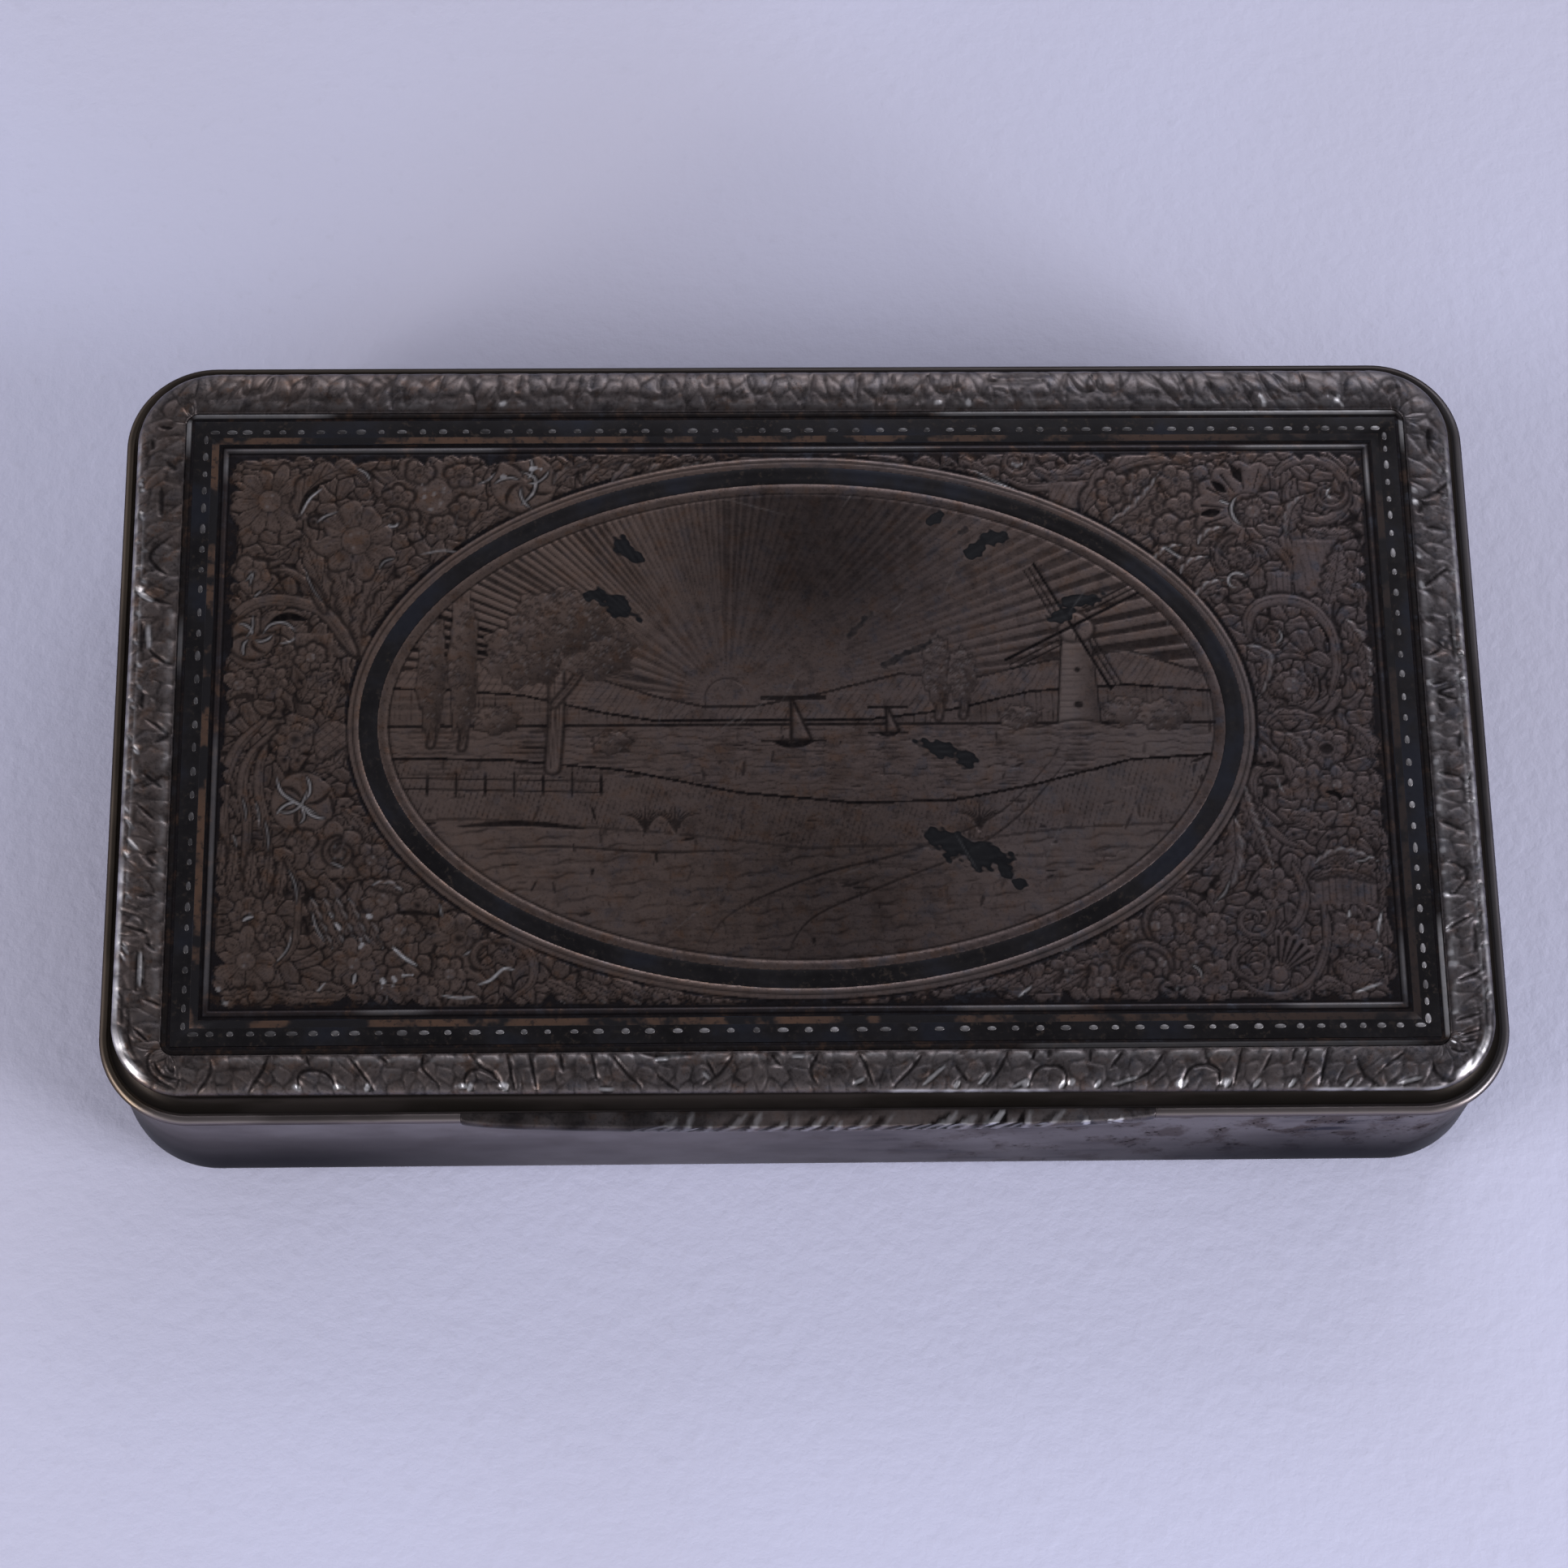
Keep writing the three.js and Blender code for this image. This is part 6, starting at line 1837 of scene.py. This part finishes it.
    for side, low, high, inner, outer, lit in (
        ("left", -21, -8, 1.78, 1.5, 0.75), ("left", -9, 20, 1.7, 1.5, 0.4),
        ("front", -41, -38, 2.0, 1.6, 0.8), ("front", 29.5, 38, 1.64, 1.5, 0.6),
        ("front", 4, 14.5, 1.64, 1.5, 0.7), ("front", 37.5, 40.5, 2.1, 1.7, 0.8),
        ("right", -19, 19, 1.78, 1.62, 0.4), ("right", -19, 8, 2.1, 2.0, 0.25),
        ("left", -12, 14, 2.05, 1.95, 0.25),
    ):
        painted_shine(side, low, high, inner, outer, lit)
    # Bright nicks near the outer edge, stronger at the left: painted highlights.
    for side, lit in (("left", 0.7), ("right", 0.4)):
        for _ in range(30):
            place, inset, run = pick.uniform(-19, 19), pick.uniform(1.6, 2.0), pick.uniform(0.2, 0.6)
            nick = on(side, (place, inset + 0.25), (place + run, inset))
            g.bright_cut(nick, 0.14, lit * pick.uniform(0.3, 1))
    for end in (-41.5, -40.2, 40.2, 41.5):
        for inset in (1.62, 1.95, 2.3):
            middle = end + pick.uniform(-0.5, 0.5)
            g.cut(on("front", (middle - 1.2, inset), (middle + 1.2, inset + 0.1)), 0.16, 0.02, 0.9)
    # The front corners' outer slope darkened, leaving a thin highlight at the edge: painted shade.
    left_corner, right_corner = 122.0, 199.2
    for centre in (left_corner, right_corner):
        close = np.exp(-(((g.x[None, :] - centre) / 2) ** 2)) * within((g.y[:, None] - 1.66) / 0.08)
        at_least(g.ink, 0.75 * close * within((2.5 - g.y[:, None]) / 0.3))
    # Darkened along the inner edge, with its highlight taken out: painted shade where the crown falls to the
    # fillet.
    inner = within((g.y[:, None] - 3.58) / 0.12)
    at_least(g.ink, 0.65 * inner)
    g.gleam *= 1 - inner
    return g


def border_outline(inset):
    outer = lid_radius - border_from
    share = (inset - border_from) / (face_from - border_from)
    return lid_outline(inset, outer + (0.3 - outer) * share)


def make_border(finish):
    g = chase_border()
    spacing, corner_steps = ((0.1, 60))
    top = crown_top - chasing_height
    rise = arc(crown_from, border_step, crown_from - border_from, top - border_step, 180, 90, 24)
    fall = arc(crown_from, face_top, fillet_from - crown_from, top - face_top, 90, 0, 12)[1:]
    fillet = [(3.86, face_top - 0.02), (3.91, face_top), (4.1, face_top), (face_from, face_top - 0.02)]
    profile = [(face_from, border_seat), (border_from, border_seat), *rise, *fall, *fillet]
    long_steps, short_steps = side_steps(spacing)
    runs, corners, at = [], [0.0], 0.0
    for steps, length in ((long_steps, long_run), (short_steps, short_run)) * 2:
        runs.append(np.linspace(at, at + corner_run, corner_steps + 1))
        at += corner_run
        runs.append(np.linspace(at, at + length, steps + 1)[1:-1])
        corners += [at, at + length]
        at += length
    run = np.concatenate(runs)
    outward = np.interp(run, corners, (0.5, 0.62, 0.62, 0.68, 0.68, 0.0, 0.3, 0.5, 0.5))
    rings, layers = [], {name: [] for name in g.layers()}
    for k, (inset, z) in enumerate(profile):
        ring = outline(*border_outline(inset), spacing, corner_steps)
        across = np.full(len(run), inset)
        # Above its seat, the crown leans outward over the cove.
        lean = outward * within((3.6 - inset) / 2.1) * (k > 1)
        ring += (outline(*border_outline(inset - 0.5), spacing, corner_steps) - ring) * lean[:, None] * 2
        worked = 2 <= k < len(profile) - 4
        depth = g.sample("height", run, across) if worked else 0.0
        rings.append(np.column_stack([ring, np.minimum(z + depth * np.ones(len(run)), crown_top)]))
        for name, values in layers.items():
            values.append(g.sample(name, run, across) * worked)
        if inset > fillet_from:
            flat = 0.8 if 3.9 < inset < 4.15 else 0.0
            layers["ink"][-1] = np.full(len(run), 0.9 - 0.6 * flat)
            layers["fair"][-1] = np.full(len(run), 0.05 * flat)
            layers["gleam"][-1] = np.zeros(len(run))
            # Painted highlights along the fillet, in runs on each side.
            for side, low, high, lit in (
                ("back", -38.4, -28, 0.4), ("back", 8, 38, 0.3), ("back", 22, 37, 0.55),
                ("left", 17, 21, 0.7), ("left", 3, 7, 0.3), ("right", 17, 21, 0.5),
                ("right", -20.6, -12, 0.8), ("front", 12, 36, 0.15),
            ):
                middle, way = side_middles[side]
                place = way * (run - middle)
                reach = within(np.minimum(place - low, high - place) / 1.5)
                layers["gleam"][-1] = np.maximum(layers["gleam"][-1], 0.75 * lit * flat * reach)
    quads = skin(len(profile), len(run), True, True)
    piece = make_piece(
        "chased_border", np.vstack(rings), quads, finish, "lid", 60, (),
        {name: np.concatenate(values) for name, values in layers.items()},
    )
    steps = np.hypot(*(np.roll(profile, -1, 0) - profile).T)
    up = np.concatenate([[0], np.cumsum(steps)]) / steps.sum()
    column = np.arange(len(run))[None, :, None] + np.array([0, 1, 1, 0])
    strip = np.arange(len(run))[None, :, None] * 4 // len(run)
    u = 0.99 * (column * 4 / len(run) - strip)
    v = strip * 0.25 + 0.24 * up[np.arange(len(profile))[:, None, None] + np.array([0, 0, 1, 1])]
    lay_flat(piece, [np.stack(np.broadcast_arrays(u, v), -1)])
    stand_for(piece, "chased_silver", "lid_border")


def make_thumbpiece(finish):
    """The swelling strip under the lid's front edge that the thumb lifts, chased with slanting cuts."""
    g = Engraving(-20.6, 20.6, 0, 3.0, 0.07, 0.0, 0.1)
    g.leaf[:] = 1
    g.fair[:] = 0.5 * within((g.x + 8) / 6) * within((17 - g.x) / 5)
    pick = np.random.default_rng(17)
    spot = -10.0
    while spot < 14.5:
        lean, rise = pick.uniform(0.4, 1.5), pick.uniform(1.9, 2.9)
        line = curve((spot - 0.2, 0.2), (spot + 0.1, 1.2), (spot + lean, rise))
        g.cut(line, pick.uniform(0.35, 0.7), 0.1, pick.uniform(0.7, 1.0), 0, (0.3, 0.3))
        # A bright line beside each cut: painted highlight.
        g.cut(line + (0.45, 0), 0.3, 0.02, 0.0, pick.uniform(0.1, 0.5))
        spot += pick.uniform(0.5, 1.7)
    # Painted highlights: bright cuts and two glinting dots.
    g.bright_cut(curve((10.4, 1.0), (10.9, 1.9), (11.6, 2.8)), 0.5, 1.0)
    for place in (-7.2, -1.0, 2.3, 5.1, 8.2, 13.4):
        g.bright_cut(curve((place, 1.0), (place + 0.7, 1.7)), 0.24, pick.uniform(0.3, 0.8))
    for place in (16.4, 18.2):
        g.dot(place, 1.6, 0.3, 0, 1.0)
    # Darker along the top, under the lid's lip: painted shadow.
    upper = within((g.y[:, None] - 2.2) / 0.5) * (0.5 + 0.3 * np.sin(g.x * 0.7)[None, :])
    at_least(g.ink, upper)
    dark = within((-3 - g.x[None, :]) / 4) * (0.62 + 0.2 * np.sin(g.x[None, :] * 1.7))
    at_least(g.ink, dark)
    count = 300
    bow_points, flat_points = 19, 3
    around = bow_points + 2 * flat_points
    share = np.linspace(-1, 1, count)
    along = -np.cos((share + 1) / 2 * math.pi)
    swelling = np.sqrt(within(1 - along**4)) * (1 - along**2 / 4)
    turn = np.radians(np.linspace(-90, 90, bow_points))
    bow_z = thumb_middle + thumb_tall_half * np.sin(turn)
    low_z = np.full(flat_points, thumb_middle - thumb_tall_half)
    top_z = np.full(flat_points, thumb_middle + thumb_tall_half)
    points = []
    for share_along, full in zip(along, swelling):
        x = thumb_half * share_along
        reach = 0.5 + 0.62 * full
        bow_y = thumb_back - reach + min(0.28, reach) * (1 - np.cos(turn))
        depth = g.sample("height", np.full(bow_points, x), 1 + np.sin(turn))
        bow_y = bow_y - depth * np.cos(turn) * (full > 0.15)
        low_y = np.linspace(thumb_back, bow_y[0], flat_points + 1)[:-1]
        top_y = np.linspace(bow_y[-1], thumb_back, flat_points + 1)[1:]
        section_y = np.concatenate([low_y, bow_y, top_y])
        section_z = np.concatenate([low_z, bow_z, top_z])
        points.append(np.column_stack([np.full(around, x), section_y, section_z]))
    points = np.vstack(points)
    reach_round = np.concatenate([[0.0] * flat_points, 1 + np.sin(turn), [2.3, 2.6, 2.9]])
    layers = {name: g.sample(name, points[:, 0], np.tile(reach_round, count)) for name in g.layers()}
    quads = skin(count, around, False, True)
    ends = (np.arange(around), (count - 1) * around + np.arange(around)[::-1])
    piece = make_piece("thumb_strip", points, quads, finish, "lid", 60, ends, layers)
    stand_for(piece, "chased_silver", "thumbpiece")


# The body, the lid's edge and the hinge.

def note_cove(piece):
    """Marks the points in the hollow under the border and along the hinge, which the silver's finish
    darkens: painted shade, with some tarnish.
    """
    points = np.empty(len(piece.data.vertices) * 3, np.float32)
    piece.data.vertices.foreach_get("co", points)
    x, y, z = points.reshape(-1, 3).T / MM
    qx, qy = np.abs(x) - lid_half[0] + lid_radius, np.abs(y) - lid_half[1] + lid_radius
    past_corner = np.hypot(np.maximum(qx, 0), np.maximum(qy, 0))
    inset = lid_radius - past_corner - np.minimum(np.maximum(qx, qy), 0)
    hollow = (inset > 0.55) & (z > 12.7)
    back = within((y - 22.5) / 1.5) * (z > 12.3) * 0.75
    held = piece.data.attributes.new("cove", "FLOAT", "POINT")
    held.data.foreach_set("value", np.maximum(hollow, back).astype(np.float32))


def make_body(silver, gilt):
    inner = foot - wall
    outside = arc(foot, foot, foot, foot, 270, 180, 14)
    rim = [(0, body_top - 0.12), (0.05, body_top - 0.03), (0.12, body_top)]
    inside = [(wall, body_top)] + arc(foot, foot, inner, inner, 180, 270, 8)
    layers = [(body_outline(inset), z) for inset, z in outside + rim + inside]
    gilt_from = len(outside) + len(rim) - 1
    band = loft(
        "silver_wall", layers, [silver, gilt], "body", True,
        finish_of=lambda span: int(gilt_from <= span < len(layers) - 1),
    )
    cut_away(band, hinge_bay)
    note_cove(band)
    stand_for(band, "silver_body", "body_band")
    steps = [(0.6, bezel_bottom), (0, bezel_bottom), (0, bezel_top - 0.15), (0.05, bezel_top - 0.04)]
    steps += [(0.15, bezel_top), (0.5, bezel_top), (0.6, bezel_top - 0.08)]
    bezel = loft("gilt_bezel", [(bezel_outline(inset), z) for inset, z in steps], gilt, "body", True)
    stand_for(bezel, "gilt_inside", "body_bezel")


def make_lid_edge(silver, gilt):
    side = math.degrees(math.acos(1 - 0.25 / lip_round))
    lip = arc(lip_round, lip_middle, lip_round, lip_round, 180 + side, 60, 22)
    cove = arc(cove_from, border_seat, cove_width, cove_sink, 270, 360, 12)
    outside = [(0.25, lid_bottom + 0.05), *lip, *cove]
    layers = [
        (lid_outline(4.2, 2.5), 13.0),
        (bezel_outline(0.75), 12.6),
        (bezel_outline(-0.15), 12.6),
        (bezel_outline(-0.15), lid_bottom),
        (lid_outline(0.3), lid_bottom),
        *((lid_outline(inset), z) for inset, z in outside),
    ]
    rim = loft("lid_edge", layers, [silver, gilt], "lid", False, finish_of=lambda span: int(span < 3))
    cut_away(rim, thumb_bed, flange_bed)
    note_cove(rim)
    stand_for(rim, "silver_lid", "lid_shell")


def dress_hinge(silver, gilt, wire):
    plate = dressed("base_plate", "bottom_plate", [silver, gilt], "body", "silver_body")
    for face in plate.data.polygons:
        face.material_index = int(face.center.z > 0.6 * MM)
    dressed("body_hinge_bearer", "hinge_channel", [silver], "body", "silver_body")
    dressed("lid_hinge_bearer", "hinge_flange", [silver], "lid", "silver_lid", 0.04)
    dressed("hinge_pin", "hinge_wire", [wire], "body", "hinge_wire", 0.04)
    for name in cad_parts:
        if name.startswith(("body_knuckle", "pin_plug")):
            dressed(name, name + "_turned", [wire], "body", "hinge_wire", 0.06)
        elif name.startswith("lid_knuckle"):
            dressed(name, name + "_turned", [wire], "lid", "hinge_wire", 0.06)


place_camera()
bpy.context.scene.world = light_room()
bpy.context.scene.view_settings.view_transform = "Standard"
softbox("left_softbox", (-420, -160, 260), (0, 0, 10), 240, 240, 1.2, (1.0, 0.97, 0.94))
softbox("right_softbox", (420, -200, 240), (0, 0, 10), 240, 240, 2.2, (0.97, 0.98, 1.0))
softbox("left_glint", (-620, -400, 170), (-40, -22, 12), 140, 140, 1.6, (1.0, 0.94, 0.82))
softbox("right_glint", (620, -400, 190), (40, -22, 12), 140, 140, 1.6, (1.0, 0.98, 0.94))
softbox("back_softbox", (160, 520, 420), (0, 60, 0), 420, 260, 1.2, (0.97, 0.98, 1.0))

floor_mesh = bpy.data.meshes.new("floor")
floor_mesh.from_pydata([(-2, -2, 0), (2, -2, 0), (2, 2, 0), (-2, 2, 0)], [], [(0, 1, 2, 3)])
floor = bpy.data.objects.new("floor", floor_mesh)
floor.location.z = -0.02 * MM
floor_mesh.materials.append(pale_floor())
bpy.context.scene.collection.objects.link(floor)

silver = plain_silver()
gilt = gilt_inside()
inlay = black_inlay()
chased = worked_silver("chased_silver", tint(98, 90, 90), tint(98, 93, 97), tint(40, 37, 38), 0.5, (4, 2, 0))
make_body(silver, gilt)
make_lid_edge(silver, gilt)
make_border(chased)
make_thumbpiece(chased)
make_face(worked_silver("engraved_silver", tint(101, 86, 81), tint(92, 82, 84), tint(42, 39, 43), 0.3))
make_oval_band(inlay)
make_black_frame(inlay, brown_strip())
make_beads(bead_silver())
dress_hinge(silver, gilt, hinge_wire())
